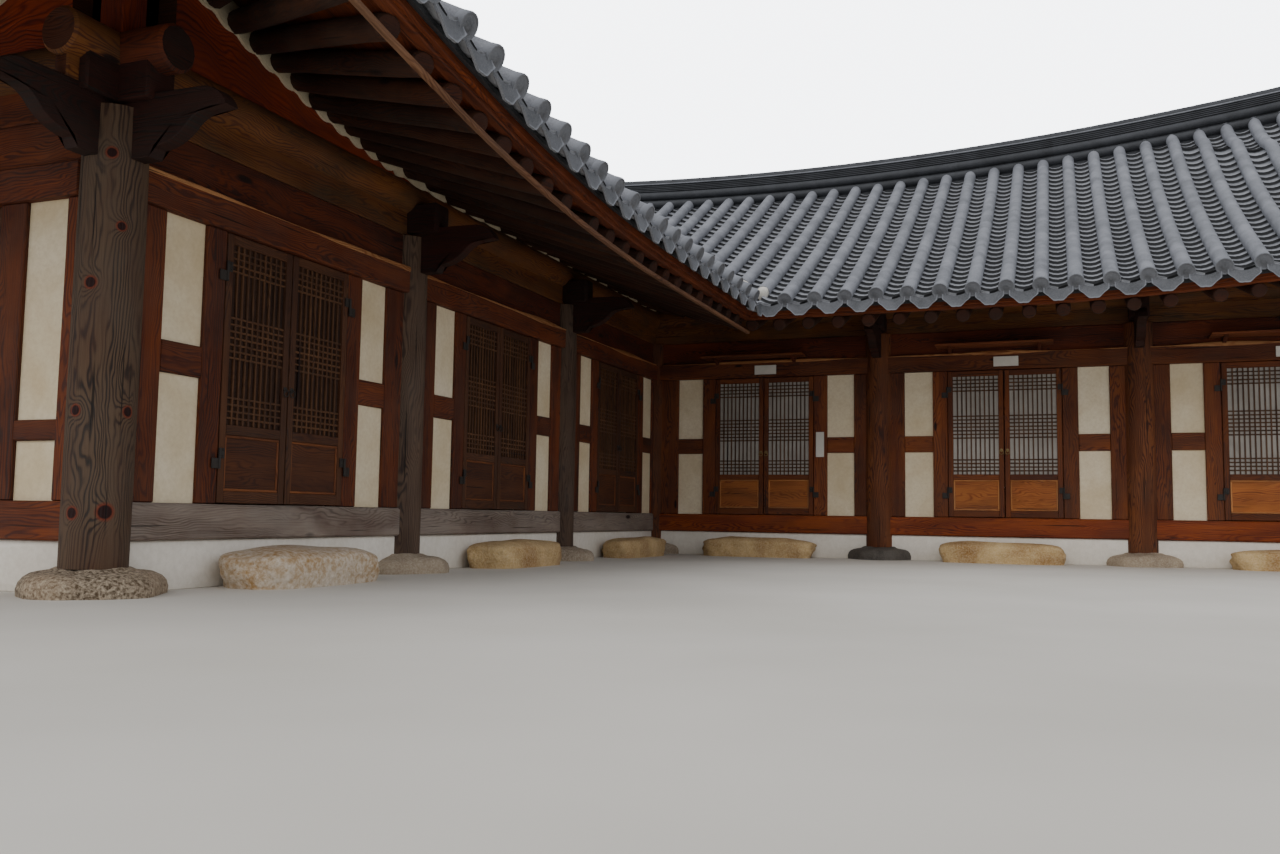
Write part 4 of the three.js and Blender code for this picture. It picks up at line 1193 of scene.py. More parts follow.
FINISHES: tuple[Wood | Mineral | Clay, ...] = (
    Wood("red_pine", "2a0d05", "58240d", "8d4c22", grey="5a4637", stain="1c0803", worn=0.14, knots=1.1),
    Wood("red_pine_end", "180703", "361406", "562a12", knots=0.3, rings=500.0, worn=0.05),
    Wood("brown_pine", "200a04", "4a1c09", "7a3b16", stain="160602", worn=0.06),
    Wood(
        "column_wood", "140a06", "3d2a20", "66503f", grey="5c5046",
        worn=0.25, knots=1.5, figure=0.45, relief=0.9,
    ),
    Wood(
        "near_column", "0c0705", "3f2c20", "68523f", grey="574c42", stain="4a2412",
        worn=0.22, knots=0.7, rings=260.0, figure=0.5, relief=1.0, branches=near_knots(),
    ),
    Wood(
        "column_red", "240c04", "52250f", "7f4825", grey="5f4a3a",
        worn=0.12, knots=1.2, figure=0.4, relief=0.8,
    ),
    Wood(
        "grey_sill", "352a25", "77685d", "aa9a8b", grey="8b8178", stain="4f2e20",
        stained=0.5, worn=0.35, relief=0.9,
    ),
    Wood("red_sill", "3a1003", "71290a", "9e4e1b", stain="220902", worn=0.03),
    Wood("rafter_wood", "0f0502", "2a1107", "4c2812", stain="0c0402", stained=0.5, worn=0.05),
    Wood("rafter_end", "110401", "2b0f04", "4c230c", knots=0.2, rings=500.0, worn=0.03),
    Wood("eave_board", "2c0e03", "5d2507", "863e10", stain="1c0802", worn=0.03),
    Wood("fascia_wood", "3a1e10", "684028", "8c6446", worn=0.1),
    Wood("dark_beam", "1c0702", "451706", "77340f", stain="0f0401", stained=0.45, worn=0.03),
    Wood("arm_wood", "0c0302", "1f0a05", "3c1408", stain="080201", worn=0.03),
    Wood("wedge_wood", "380e03", "6c2107", "9a3c0d", stain="2c0b03", stained=0.4, worn=0.02),
    Wood("plate_wood", "241006", "53280d", "825020", stain="3a2e1d", stained=0.6, worn=0.06),
    # A pale wood used only for the painted highlight along the lintel's top edge.
    Wood("pale_edge_highlight", "6b3515", "a5683a", "c9925f", knots=0.2, worn=0.03),
    Wood("door_frame", "2c1006", "542409", "7d421c", knots=0.25, worn=0.05, relief=0.3),
    Wood("door_board", "5f280c", "8d4a1e", "b26c33", knots=0.3, worn=0.05, relief=0.25),
    Wood("door_trim", "8a4a1e", "b06a34", "cf8d50", knots=0.2, relief=0.2),
    Wood("old_frame", "200d05", "40210f", "633c22", knots=0.25, worn=0.05, relief=0.4),
    Wood("old_board", "1f0c04", "3e1d0b", "5f351a", knots=0.3, worn=0.03, relief=0.3),
    Wood("old_trim", "4a2410", "6e3a1c", "8f562e", knots=0.2, worn=0.03, relief=0.2),
    Wood("old_bar", "2a170b", "4a2f1b", "684a35", knots=0.2, worn=0.05, relief=0.3),
    Wood("dark_bar", "2a170b", "4f301a", "6e4a2e", knots=0.2, worn=0.03, relief=0.3),
    Mineral("wall_plaster", "d9c6a2", "eee1c6", "bfa883", size=1.6, specks=0.25, relief=0.15),
    Mineral("base_lime", "e8e0d2", "f6f0e5", "cfc5b4", size=1.1, specks=0.3, relief=0.2),
    Mineral("eave_plaster", "cdbf9f", "e3d8bd", "a8987b", size=5.0),
    Mineral("granite", "4f3f2c", "8a735a", "c9b8a0", size=2.3, specks=0.8, relief=1.0, depth=0.014),
    Mineral("slate", "38332f", "5d5750", "867f76", size=4.0, specks=0.4, relief=0.8, depth=0.01),
    Mineral("ochre_stone", "99703a", "d2b27c", "f0dfbf", size=2.6, specks=0.35, relief=0.7, depth=0.014),
    Mineral("patchy_stone", "a8824c", "c4b8a6", "ebe5da", size=1.3, specks=0.55, relief=0.8, depth=0.014),
    Mineral("tan_stone", "83705a", "b09e86", "d5c9b6", size=2.8, specks=0.45, relief=0.7, depth=0.012),
    Mineral("white_paper", "9a948c", "b5b0a8", "8b867e", size=2.0, specks=0.1, rough=0.8, relief=0.05),
    Mineral("dark_paper", "2b1a12", "3d2618", "1a0f0a", size=2.0, rough=0.8, relief=0.05),
    Mineral("iron", "1a1817", "2f2b28", "4a423c", size=8.0, specks=0.4, rough=0.6, relief=0.3),
    Mineral("brass", "5b4a2c", "8d7446", "b39a63", size=8.0, specks=0.4, rough=0.45, relief=0.2),
    Mineral("bare_plate", "c9c6bd", "dcd9d1", "b8b4a8", specks=0.15, rough=0.5, relief=0.1),
    Mineral("floor_paper", "8f6d3a", "b08a4c", "7a5a2e", size=1.2, specks=0.2, rough=0.55, relief=0.1),
    Mineral("mortar", "c4c0b6", "dedad0", "a6a196", size=6.0, specks=0.3, relief=0.5),
    Clay("convex_tile", "5e6066", "85878e", "afb1b5"),
    # The lip colours of the channel and end tiles are painted highlights; the channel tiles' shadow is
    # painted shade under each next tile's lip.
    Clay("channel_tile", "63656b", "95979d", "b1b3b7", "b3b5ba", lip_highlight_width=0.25, shadow=0.97, vary=0.35),
    Clay("ridge_tile", "222427", "3b3d41", "63656a"),
    Clay("end_tile", "3d3f43", "5d5f64", "888a8e", "8d9097", lip_highlight_width=0.11),
)


class Palette:
    """The materials of the house, each made when it is first used."""

    def __init__(self) -> None:
        """Starts with nothing made."""
        self.finishes = {finish.name: finish for finish in FINISHES}
        self.made: dict[str, bpy.types.Material] = {}

    def __getitem__(self, name: str) -> bpy.types.Material:
        """The material of that name."""
        if name not in self.made:
            self.made[name] = self.finishes[name].make()
        return self.made[name]

    def pick(self, *names: str) -> list[bpy.types.Material]:
        """Several materials by name."""
        return [self[name] for name in names]

    def dress(self, node: bpy.types.Object, name: str) -> None:
        """Gives a solid of the model one material."""
        node.data.materials.clear()
        node.data.materials.append(self[name])


def with_finish(patch: Patch, finish: int, end_finish: int | None = None) -> Patch:
    """A copy of a patch with its finish numbers set.

    Args:
        patch: A patch whose ends, if it has any, carry finish number 1.
        finish: The number of its sides.
        end_finish: The number of its ends; the same as the sides if None.

    Returns:
        The copy.
    """
    ends = finish if end_finish is None else end_finish
    finishes = tuple(np.where(old == 1, ends, finish) for old in patch.finishes)
    return Patch(patch.points, patch.faces, patch.uvs, finishes)


def between(a: float, b: float) -> Range:
    """Two values as a range from low to high."""
    return min(a, b), max(a, b)


def quadratic(start: Sequence[float], control: Sequence[float], end: Sequence[float]) -> Array:
    """Six points of a quadratic curve after its start: (1-t)^2 start + 2t(1-t) control + t^2 end."""
    t = np.linspace(0, 1, 7)[1:, None]
    p, c, q = (np.array(point, float) for point in (start, control, end))
    return (1 - t) ** 2 * p + 2 * t * (1 - t) * c + t * t * q


def wedge(roof: RoofShape, wall: Wall, reach: Range) -> Patch:
    """The wedge timber on a wall's purlin, under rafters that rise towards a corner.

    Args:
        roof: The roof's shape.
        wall: The wall.
        reach: Where it starts and stops along the wall.

    Returns:
        The patch in wall coordinates.
    """
    s = np.linspace(*reach, max(4, int((reach[1] - reach[0]) / 0.3)))
    foot = np.full_like(s, PURLIN_AXIS + 0.06)
    sides = []
    for w, top in ((WEDGE_W[0], False), (WEDGE_W[1], False), (WEDGE_W[1], True), (WEDGE_W[0], True)):
        z = np.maximum(roof.wedge_top(s, w, wall), foot + 0.005) if top else foot
        sides.append(np.stack([s, np.full_like(s, w), z], 1))
    uv = mesh_map(s, np.linspace(0.0, 0.8, 5) + IDS.next())
    return grid_patch(np.stack(sides, 1), uv, 1)


def hip_block(s: float) -> Patch:
    """The block on the crossing purlins of a corner that carries the hip rafter."""
    across = (COLUMN_SET_IN - HIP_BLOCK_HALF, COLUMN_SET_IN + HIP_BLOCK_HALF)
    return timber(((s - HIP_BLOCK_HALF, s + HIP_BLOCK_HALF), across, (PURLIN_AXIS, HIP_BLOCK_TOP)), 2)


def beam_end() -> Patch:
    """The squared end of a cross beam that stands out over a column."""
    return timber(((-0.095, 0.095), (-0.29, 0.02), (2.54, 2.76)), 1, 0.012, 0.15, 0.003)


def cross_purlin(s: float) -> Patch:
    """The round end of the purlin that crosses the wall's own purlin at a corner."""
    return log((s, COLUMN_SET_IN, PURLIN_AXIS), (s, -PURLIN_OVERHANG, PURLIN_AXIS), PURLIN_RADIUS)


def long_purlin(reach: Range, sides: int = 14) -> Patch:
    """The wall's own purlin over a stretch of the wall."""
    start, end = ((s, COLUMN_SET_IN, PURLIN_AXIS) for s in reach)
    return log(start, end, PURLIN_RADIUS, sides)


def barrel(s: float, z: float) -> Patch:
    """One hinge barrel on the wall, from z upwards."""
    low, high, thin, full = 0.0, BARREL_HEIGHT, 0.005, 0.009
    profile = np.array([[low, thin], [low, full], [high, full], [high, thin]])
    return lathe(profile, 12, np.array([s, -HINGE_STANDOFF, z]), UP)


@dataclass(frozen=True)
class Lattice:
    """A field of upright bars crossed by groups of level bars, with paper behind it."""

    bar: float = 0.013
    depth: float = 0.014
    bevel: float = 0.002
    paper: float = 0.003
    uprights: int = 9
    slots: int = 27
    crossings: tuple[int, ...] = (*range(1, 5), *range(10, 17), *range(23, 27))

    def patches(self, x: Range, z: Range, face: float, bar_finish: int, paper_finish: int) -> list[Patch]:
        """The bars and the sheet behind them.

        Args:
            x: Its reach along the wall.
            z: Its reach upwards.
            face: The depth of the bars' front.
            bar_finish: The bars' finish number.
            paper_finish: The sheet's finish number.

        Returns:
            The patches.
        """
        half, back = self.bar / 2, face + self.depth
        patches = []
        for share in np.arange(1, self.uprights + 1) / (self.uprights + 1):
            at = x[0] + (x[1] - x[0]) * share
            patches.append(batten(((at - half, at + half), (face, back), z), 2, self.bevel))
        for slot in self.crossings:
            at = z[0] + (z[1] - z[0]) * slot / self.slots
            box = (x, (face + 0.002, back - 0.001), (at - half, at + half))
            patches.append(batten(box, 0, self.bevel))
        bars = [with_finish(patch, bar_finish) for patch in patches]
        sheet = batten((x, (back, back + self.paper), z), 0)
        return [*bars, with_finish(sheet, paper_finish)]


@dataclass
class CourtWall:
    """The courtyard wall of one wing: strips with their columns, the sill and the beams above."""

    side: Side
    palette: Palette
    column_sides: int = 28
    near_radius: float = 0.165
    strap: float = 0.06
    ledge_out: float = 0.29
    ledge_levels: tuple[float, ...] = (2.29, 2.32, 2.32)

    def __post_init__(self) -> None:
        """Keeps the wing's plan and placing."""
        self.plan = PLANS[self.side]
        self.place = wall_place(self.side, Wall.COURT)
        self.red = self.side is Side.BACK

    def build(self) -> None:
        """Builds every piece of the wall."""
        for index in range(4):
            self.strip(index)
        self.sill()
        self.beams()

    def materials(self, *extra: str) -> list[bpy.types.Material]:
        """The wall's timber, its end grain and more finishes."""
        return self.palette.pick("red_pine" if self.red else "brown_pine", "red_pine_end", *extra)

    def strip(self, index: int) -> None:
        """One strip between two doorways: column, jambs, studs, rails and hinge pins."""
        doors = self.plan.doors
        at = (INNER_COLUMN, *self.plan.columns)[index]
        end = 0.0 if index == 0 else at
        batch = Batch(self.place)
        high = (SILL_TOP + 0.0003, LINTEL[0] - 0.0003)
        sides = []
        if index > 0:
            sides.append((doors[index - 1] + DOOR_HALF, 1))
        if index < 3:
            sides.append((doors[index] - DOOR_HALF, -1))
        for inner, way in sides:
            jamb = inner + way * JAMB_WIDTH
            stud = jamb + way * PANEL_WIDTH
            batch.add(timber((between(inner, jamb), STUD_W, high), 2))
            batch.add(timber((between(stud, end), STUD_W, high), 2))
            batch.add(timber((between(jamb, stud), (0.004, 0.146), RAIL), 0))
            batch.add(timber((between(inner - way * 0.014, inner), (0.048, 0.09), high), 2, 0.003))
            batch.add(*self.pintles(inner, way))
        near = not self.red and index == 3
        if self.side is Side.BACK or index > 0:
            batch.add(with_finish(self.column(at, self.near_radius if near else COLUMN_RADIUS), 2))
        if index == 1 and self.red:
            batch.add(with_finish(self.jamb_plate(doors[0] + DOOR_HALF), 4))
        name = f"{self.side.value}_frame_{index + 1}"
        wood = "column_red" if self.red else ("near_column" if near else "column_wood")
        slot = "weathered" if name == "left_wing_frame_4" else "timber"
        batch.build(f"{name}_wood", "house", slot, self.materials(wood, "iron", "bare_plate"), (name,))

    def column(self, at: float, radius: float = COLUMN_RADIUS) -> Patch:
        """A round column: its radius swells a little at the middle and wavers down its length."""
        z = np.linspace(STONE_TOP, HEAD_TOP - 0.006, 19)
        share = (z - z[0]) / (z[-1] - z[0])
        path = np.stack([np.full_like(z, at), np.full_like(z, COLUMN_SET_IN), z], 1)
        scale = 1.0 + 0.02 * np.sin(math.pi * share) - 0.03 * share + waver(z, 0.006)
        return sweep(circle(radius, self.column_sides), path, scale, up=ALONG_V)

    def pintles(self, edge: float, way: int) -> list[Patch]:
        """The fixed half of both hinges, under the leaf's half: a barrel and a strap on the jamb."""
        patches = []
        for level in HINGE_LEVELS:
            top = level - BARREL_GAP
            z = (top - BARREL_HEIGHT, top)
            strap = (between(edge, edge + way * self.strap), (-0.012, -0.006), z)
            patches += [with_finish(patch, 3) for patch in (barrel(edge, z[0]), batten(strap, 0))]
        return patches

    def sill(self) -> None:
        """The bottom beam under the doorways, with its worn top edge."""
        start = INNER_COLUMN if self.red else 0.091
        box = ((start, self.plan.columns[-1]), SILL_W, (0.2703, SILL_TOP))
        batch = Batch(self.place).add(timber(box, 0, 0.012, 0.25, 0.003))
        name = f"{self.side.value}_sill"
        slot = "timber" if self.red else "weathered"
        wood = "red_sill" if self.red else "grey_sill"
        batch.build(f"{name}_wood", "house", slot, self.palette.pick(wood, "red_pine_end"), (name,))

    def beams(self) -> None:
        """Lintel, head beam, plate and purlin, with an arm and a beam end at each column."""
        last = self.plan.columns[-1]
        lintel, head, top, purlin = (0.036, -0.019, -0.019, 0.0)
        if self.red:
            lintel, head, top, purlin = (*(INNER_COLUMN,) * 3, INNER_COLUMN - PURLIN_RADIUS)
        end = self.plan.end_face + PURLIN_OVERHANG
        batch = Batch(self.place)
        batch.add(timber(((lintel, last), LINTEL_W, LINTEL), 0, 0.01, 0.3, 0.003))
        # A pale strip along the lintel's top edge: painted highlight.
        batch.add(with_finish(self.lintel_edge_highlight(max(lintel, 0.1), last - 0.12), 7))
        batch.add(with_finish(timber(((head, last), HEAD_W, (LINTEL[1], HEAD_TOP)), 0, 0.008), 2))
        batch.add(with_finish(timber(((top, end - 0.03), PLATE_W, (HEAD_TOP, PLATE_TOP)), 0, 0.008), 3, 1))
        batch.add(with_finish(long_purlin((purlin, end), 20), 3, 1))
        reach = (self.plan.eave_end - WEDGE_REACH, last - HIP_CLEARANCE)
        batch.add(with_finish(wedge(RoofShape(self.side), Wall.COURT, reach), 5, 1))
        for s in self.plan.columns:
            batch.add(*self.arm_and_end(s, 0.0))
        batch.add(*self.arm_and_end(last, math.pi / 2))
        batch.add(with_finish(cross_purlin(last), 2, 6))
        batch.add(with_finish(hip_block(last), 5))
        if self.red:
            batch.add(*self.door_heads())
        name = f"{self.side.value}_court_beams"
        extra = ("dark_beam", "plate_wood", "bare_plate", "wedge_wood", "arm_wood", "pale_edge_highlight")
        batch.build(f"{name}_wood", "house", "timber", self.materials(*extra), (name,))

    @staticmethod
    def lintel_edge_highlight(start: float, end: float) -> Patch:
        """A pale irregular strip along the lintel's top front edge: a painted highlight where that edge faces
        the sky.
        """
        s = np.linspace(start, end, int((end - start) / 0.12))
        centre = np.full_like(s, LINTEL[1] - 0.006)
        path = np.stack([s, np.full_like(s, LINTEL_W[0] + 0.012), centre], 1)
        scale = np.stack([np.ones_like(s), np.maximum(0.62 + waver(1.4 * s + 0.8, 0.6), 0.12)], 1)
        return sweep(rounded_box(0.03, 0.036, 0.008), path, scale)

    def door_heads(self) -> list[Patch]:
        """A ledge board on two brackets over each doorway and a small bare plate on the lintel."""
        patches = []
        for door, level in zip(self.plan.doors, self.ledge_levels):
            board = ((door - 0.69, door + 0.51), (-self.ledge_out, 0.03), (level, level + 0.022))
            patches.append(with_finish(timber(board, 0, 0.004), 0))
            outline = np.array([(0.03, level - 0.075), (0.03, level), (-0.8 * self.ledge_out, level)])
            for s in (door - 0.55, door + 0.37):
                patches.append(with_finish(plate(outline, 0.035, 0.003).moved((s, 0.0, 0.0)), 2))
            sign = ((door - 0.1, door + 0.156), (LINTEL_W[0] - 0.008, LINTEL_W[0]), (2.106, 2.212))
            patches.append(with_finish(batten(sign, 0, 0.002), 4))
        return patches

    @staticmethod
    def jamb_plate(edge: float) -> Patch:
        """A narrow upright bare plate on the jamb beside a doorway."""
        return batten(((edge + 0.028, edge + 0.12), (-0.008, 0.002), (1.14, 1.425)), 2, 0.002)

    def arm_and_end(self, s: float, angle: float) -> list[Patch]:
        """The carved arm, a beak that rises outwards, and the beam end above it."""
        foot, neck, throat = (-0.3, 2.29), (-0.5, 2.375), (-0.66, 2.455)
        tip, brow = (-0.757, 2.461), (-0.61, 2.573)
        outline = np.concatenate([
            [(0.0, 2.24), (-0.09, 2.24), (-0.18, 2.24), (-0.275, 2.24), foot],
            quadratic(foot, (-0.42, 2.30), neck),
            quadratic(neck, (-0.56, 2.45), throat),
            [tip],
            quadratic(tip, (-0.73, 2.55), brow),
            [(-0.3, 2.578), (-0.15, 2.58), (-0.07, 2.58), (0.0, 2.58)],
        ])
        patches = [with_finish(patch, 6) for patch in (plate(outline[::-1], 0.09, 0.004), beam_end())]
        return [patch.turned(angle).moved((s, COLUMN_SET_IN, 0.0)) for patch in patches]


@dataclass
class ShellWall:
    """An outer wall or an end wall: columns, beams, studs and fixed lattice windows."""

    side: Side
    wall: Wall
    palette: Palette
    stud_beside: float = 0.255
    window_half: float = 0.46
    window_jamb: float = 0.19
    window_bottom: float = 0.899
    apron: float = 0.11

    def build(self) -> None:
        """Builds the wall's timbers and windows as one piece."""
        plan = PLANS[self.side]
        last = plan.columns[-1]
        far = plan.end_face + PURLIN_OVERHANG
        corner = self.side is Side.LEFT
        if self.wall is Wall.OUTER:
            lines = [OUTER_CORNER, -MIDDLE_LINE, INNER_COLUMN, *plan.columns]
            bays = [INNER_COLUMN, *plan.columns]
            columns = lines if corner else lines[1:]
            low = (OUTER_CORNER if corner else OUTER_CORNER + 0.151, last)
            top = (OUTER_CORNER - 0.39 if corner else OUTER_CORNER + 0.126, far)
            ends = [(last, math.pi / 2)] + ([(OUTER_CORNER, -math.pi / 2)] if corner else [])
        else:
            lines = bays = [COLUMN_SET_IN, MIDDLE_LINE, OUTER_LINE]
            columns, ends = [MIDDLE_LINE], []
            low = (0.211, OUTER_FACE - 0.211)
            top = (0.186, OUTER_FACE - 0.186)
        windows = [(a + b) / 2 for a, b in zip(bays, bays[1:])]
        batch = Batch(wall_place(self.side, self.wall))
        self.timbers(batch, low, top, lines, windows)
        court = CourtWall(self.side, self.palette)
        for s in columns:
            batch.add(with_finish(court.column(s), 2))
            batch.add(with_finish(beam_end().moved((s, COLUMN_SET_IN, 0.0)), 8))
        for s, angle in ends:
            batch.add(*[with_finish(patch, 8) for patch in court.arm_and_end(s, angle)])
            batch.add(with_finish(cross_purlin(s), 3, 1), with_finish(hip_block(s), 7))
        for reach in self.wedge_spans():
            batch.add(with_finish(wedge(RoofShape(self.side), self.wall, reach), 7, 1))
        for window in windows:
            batch.add(*self.window(window))
        name = f"{self.side.value}_{self.wall.value}_frame"
        woods = self.palette.pick(
            "brown_pine", "red_pine_end", "column_red", "plate_wood", "old_frame",
            "old_bar", "white_paper", "wedge_wood", "arm_wood",
        )
        batch.build(f"{name}_wood", "house", "timber", woods, (name,))

    def wedge_spans(self) -> list[Range]:
        """Where the wedges run on the wall's purlin."""
        plan = PLANS[self.side]
        if self.wall is Wall.END:
            inset = COLUMN_SET_IN + HIP_CLEARANCE
            return [(inset, OUTER_FACE - inset)]
        near_end = (plan.eave_end - WEDGE_REACH, plan.columns[-1] - HIP_CLEARANCE)
        return [near_end, (OUTER_CORNER + HIP_CLEARANCE, WEDGE_REACH - EAVE_FAR)]

    def timbers(
        self, batch: Batch, low: Range, top: Range, lines: list[float], windows: list[float]
    ) -> None:
        """Adds the long beams, the studs and the window jambs.

        Args:
            batch: Takes the patches.
            low: Where the sill, apron and head beams run.
            top: Where the plate and purlin run.
            lines: The column lines.
            windows: The middles of the windows.
        """
        high = (SILL_TOP, LINTEL[0])

        def kept(a: float, b: float) -> Range:
            """The stretch inside the wall."""
            return max(a, low[0]), min(b, low[1])

        long = [
            (low, SILL_W, (0.2703, SILL_TOP)),
            (low, LINTEL_W, LINTEL),
            (low, HEAD_W, (LINTEL[1], HEAD_TOP)),
            ((top[0] + 0.03, top[1] - 0.03), PLATE_W, (HEAD_TOP, PLATE_TOP)),
            (low, (0.003, 0.147), (self.window_bottom - self.apron, self.window_bottom)),
        ]
        for box in long:
            batch.add(timber(box, 0, 0.008))
        batch.add(with_finish(long_purlin(top), 3, 1))
        for s in lines:
            batch.add(timber((kept(s - self.stud_beside, s + self.stud_beside), STUD_W, high), 2))
        for window in windows:
            for way in (-1, 1):
                edge = window + way * self.window_half
                batch.add(timber((kept(*between(edge, edge + way * self.window_jamb)), STUD_W, high), 2))

    def window(self, middle: float) -> list[Patch]:
        """A fixed lattice window of two lights in its frame."""
        patches = []
        z = (self.window_bottom, LINTEL[0])
        frame = 0.05
        for way in (-1, 1):
            x = between(middle, middle + way * self.window_half)
            uprights = [(x[0], x[0] + frame), (x[1] - frame, x[1])]
            for upright in uprights:
                patches.append(with_finish(timber((upright, (0.03, 0.066), z), 2, 0.003), 4))
            inner = (x[0] + frame, x[1] - frame)
            for rail in ((z[0], z[0] + frame), (z[1] - frame, z[1])):
                patches.append(with_finish(timber((inner, (0.03, 0.066), rail), 0, 0.003), 4))
            field_z = (z[0] + frame, z[1] - frame)
            patches.extend(Lattice(uprights=7).patches(inner, field_z, 0.036, 5, 6))
        return patches


@dataclass
class Doors:
    """The door leaves of one wing: framed lattice over a boarded panel, with hinges and a pull."""

    side: Side
    palette: Palette
    stile: float = 0.052
    thickness: float = 0.038
    levels: tuple[float, ...] = (0.481, 0.551, 0.881, 0.941, 2.011, 2.069)
    strap: float = 0.045
    stud_reach: float = 0.032
    pull_z: float = 1.2
    ring_radius: float = 0.022
    wire_radius: float = 0.0035

    def build(self) -> None:
        """Builds both leaves of each doorway."""
        for number, door in enumerate(PLANS[self.side].doors, 1):
            for leaf, way in (("inner", 1), ("outer", -1)):
                self.leaf(number, leaf, door, way)

    def leaf(self, number: int, leaf: str, door: float, way: int) -> None:
        """One leaf: stiles, rails, lattice, board with its moulding, hinge halves and ring.

        Args:
            number: The doorway's number.
            leaf: The leaf's name.
            door: The middle of the doorway.
            way: 1 if the leaf reaches along the wall from its hinge, otherwise -1.
        """
        hinge = door - way * DOOR_HALF
        foot, board_low, board_high, field_low, field_high, head = self.levels
        near, far = 0.006, DOOR_HALF - 0.005
        y = (0.0, self.thickness)

        def along(a: float, b: float) -> Range:
            """A stretch of the leaf in wall coordinates."""
            return between(hinge + way * a, hinge + way * b)

        batch = Batch(wall_place(self.side, Wall.COURT))
        for stile in (along(near, near + self.stile), along(far - self.stile, far)):
            batch.add(timber((stile, y, (foot, head)), 2, 0.003, 0.4, 0.0005))
        inner = along(near + self.stile, far - self.stile)
        for rail in ((foot, board_low), (board_high, field_low), (field_high, head)):
            batch.add(timber((inner, (y[0] + 0.0015, y[1] - 0.001), rail), 0, 0.003, 0.3, 0.0005))
        batch.add(with_finish(timber((inner, (0.014, 0.03), (board_low, board_high)), 0, 0.001, 0.3, 0.0), 1))
        batch.add(*[with_finish(patch, 2) for patch in self.moulding(inner, (board_low, board_high))])
        batch.add(*Lattice().patches(inner, (field_low, field_high), 0.006, 3, 4))
        batch.add(*[with_finish(patch, 5) for patch in self.iron(hinge, way)])
        batch.add(*[with_finish(patch, 6) for patch in self.pull(hinge + way * (far - self.stile / 2))])
        name = f"{self.side.value}_door_{number}_{leaf}"
        body = f"{self.side.value.split('_')[0]}_leaf_{number}_{leaf}"
        back = ("door_frame", "door_board", "door_trim", "old_bar", "white_paper", "iron", "brass")
        left = ("old_frame", "old_board", "old_trim", "dark_bar", "dark_paper", "iron", "iron")
        materials = self.palette.pick(*(back if self.side is Side.BACK else left))
        batch.build(f"{name}_joinery", body, "door", materials, (name,))

    def moulding(self, x: Range, z: Range) -> list[Patch]:
        """A thin raised strip round the board."""
        width = 0.016
        y = (0.006, 0.018)
        strips = [(x, y, (z[0], z[0] + width), 0), (x, y, (z[1] - width, z[1]), 0)]
        inner = (z[0] + width, z[1] - width)
        strips += [((x[0], x[0] + width), y, inner, 2), ((x[1] - width, x[1]), y, inner, 2)]
        return [batten((a, b, c), axis, 0.004) for a, b, c, axis in strips]

    def iron(self, hinge: float, way: int) -> list[Patch]:
        """The leaf's hinge barrels and straps, each strap with two studs."""
        front, back = -0.009, -0.002
        stud = np.array([[-0.003, 0.005], [0.0, 0.005], [0.003, 0.003], [0.004, 0.001]])
        patches = []
        for level in HINGE_LEVELS:
            patches.append(barrel(hinge, level))
            reach = between(hinge, hinge + way * self.strap)
            patches.append(batten((reach, (front, back), (level, level + BARREL_HEIGHT)), 0))
            for rise in (0.25 * BARREL_HEIGHT, 0.75 * BARREL_HEIGHT):
                spot = np.array([hinge + way * self.stud_reach, front, level + rise])
                patches.append(lathe(stud, 8, spot, OUTWARDS))
        return patches

    def pull(self, s: float) -> list[Patch]:
        """A round rose with a ring that hangs from it."""
        rose = np.array([[-0.001, 0.018], [0.003, 0.018], [0.005, 0.012], [0.006, 0.004], [0.012, 0.004]])
        patches = [lathe(rose, 14, np.array([s, 0.0, self.pull_z]), OUTWARDS)]
        sides, wire_sides = 16, 6
        t, u = turns(sides), turns(wire_sides)
        centre = np.array([s, -0.011, self.pull_z - self.ring_radius])
        ring = np.stack([np.sin(t), 0 * t, np.cos(t)], 1)
        points = centre + ring[:, None] * (self.ring_radius + self.wire_radius * np.cos(u))[:, None]
        points[..., 1] += self.wire_radius * np.sin(u)
        uv = mesh_map(np.arange(sides + 1) * 0.01, np.append(u, 2 * math.pi) * 0.01 + IDS.next())
        faces, face_uv = quad_grid(uv, sides + 1, wire_sides, lambda ring: (ring + 1) % sides)
        patches.append(Patch(points.reshape(-1, 3), (faces,), (face_uv,), (np.zeros(len(faces), int),)))
        return patches


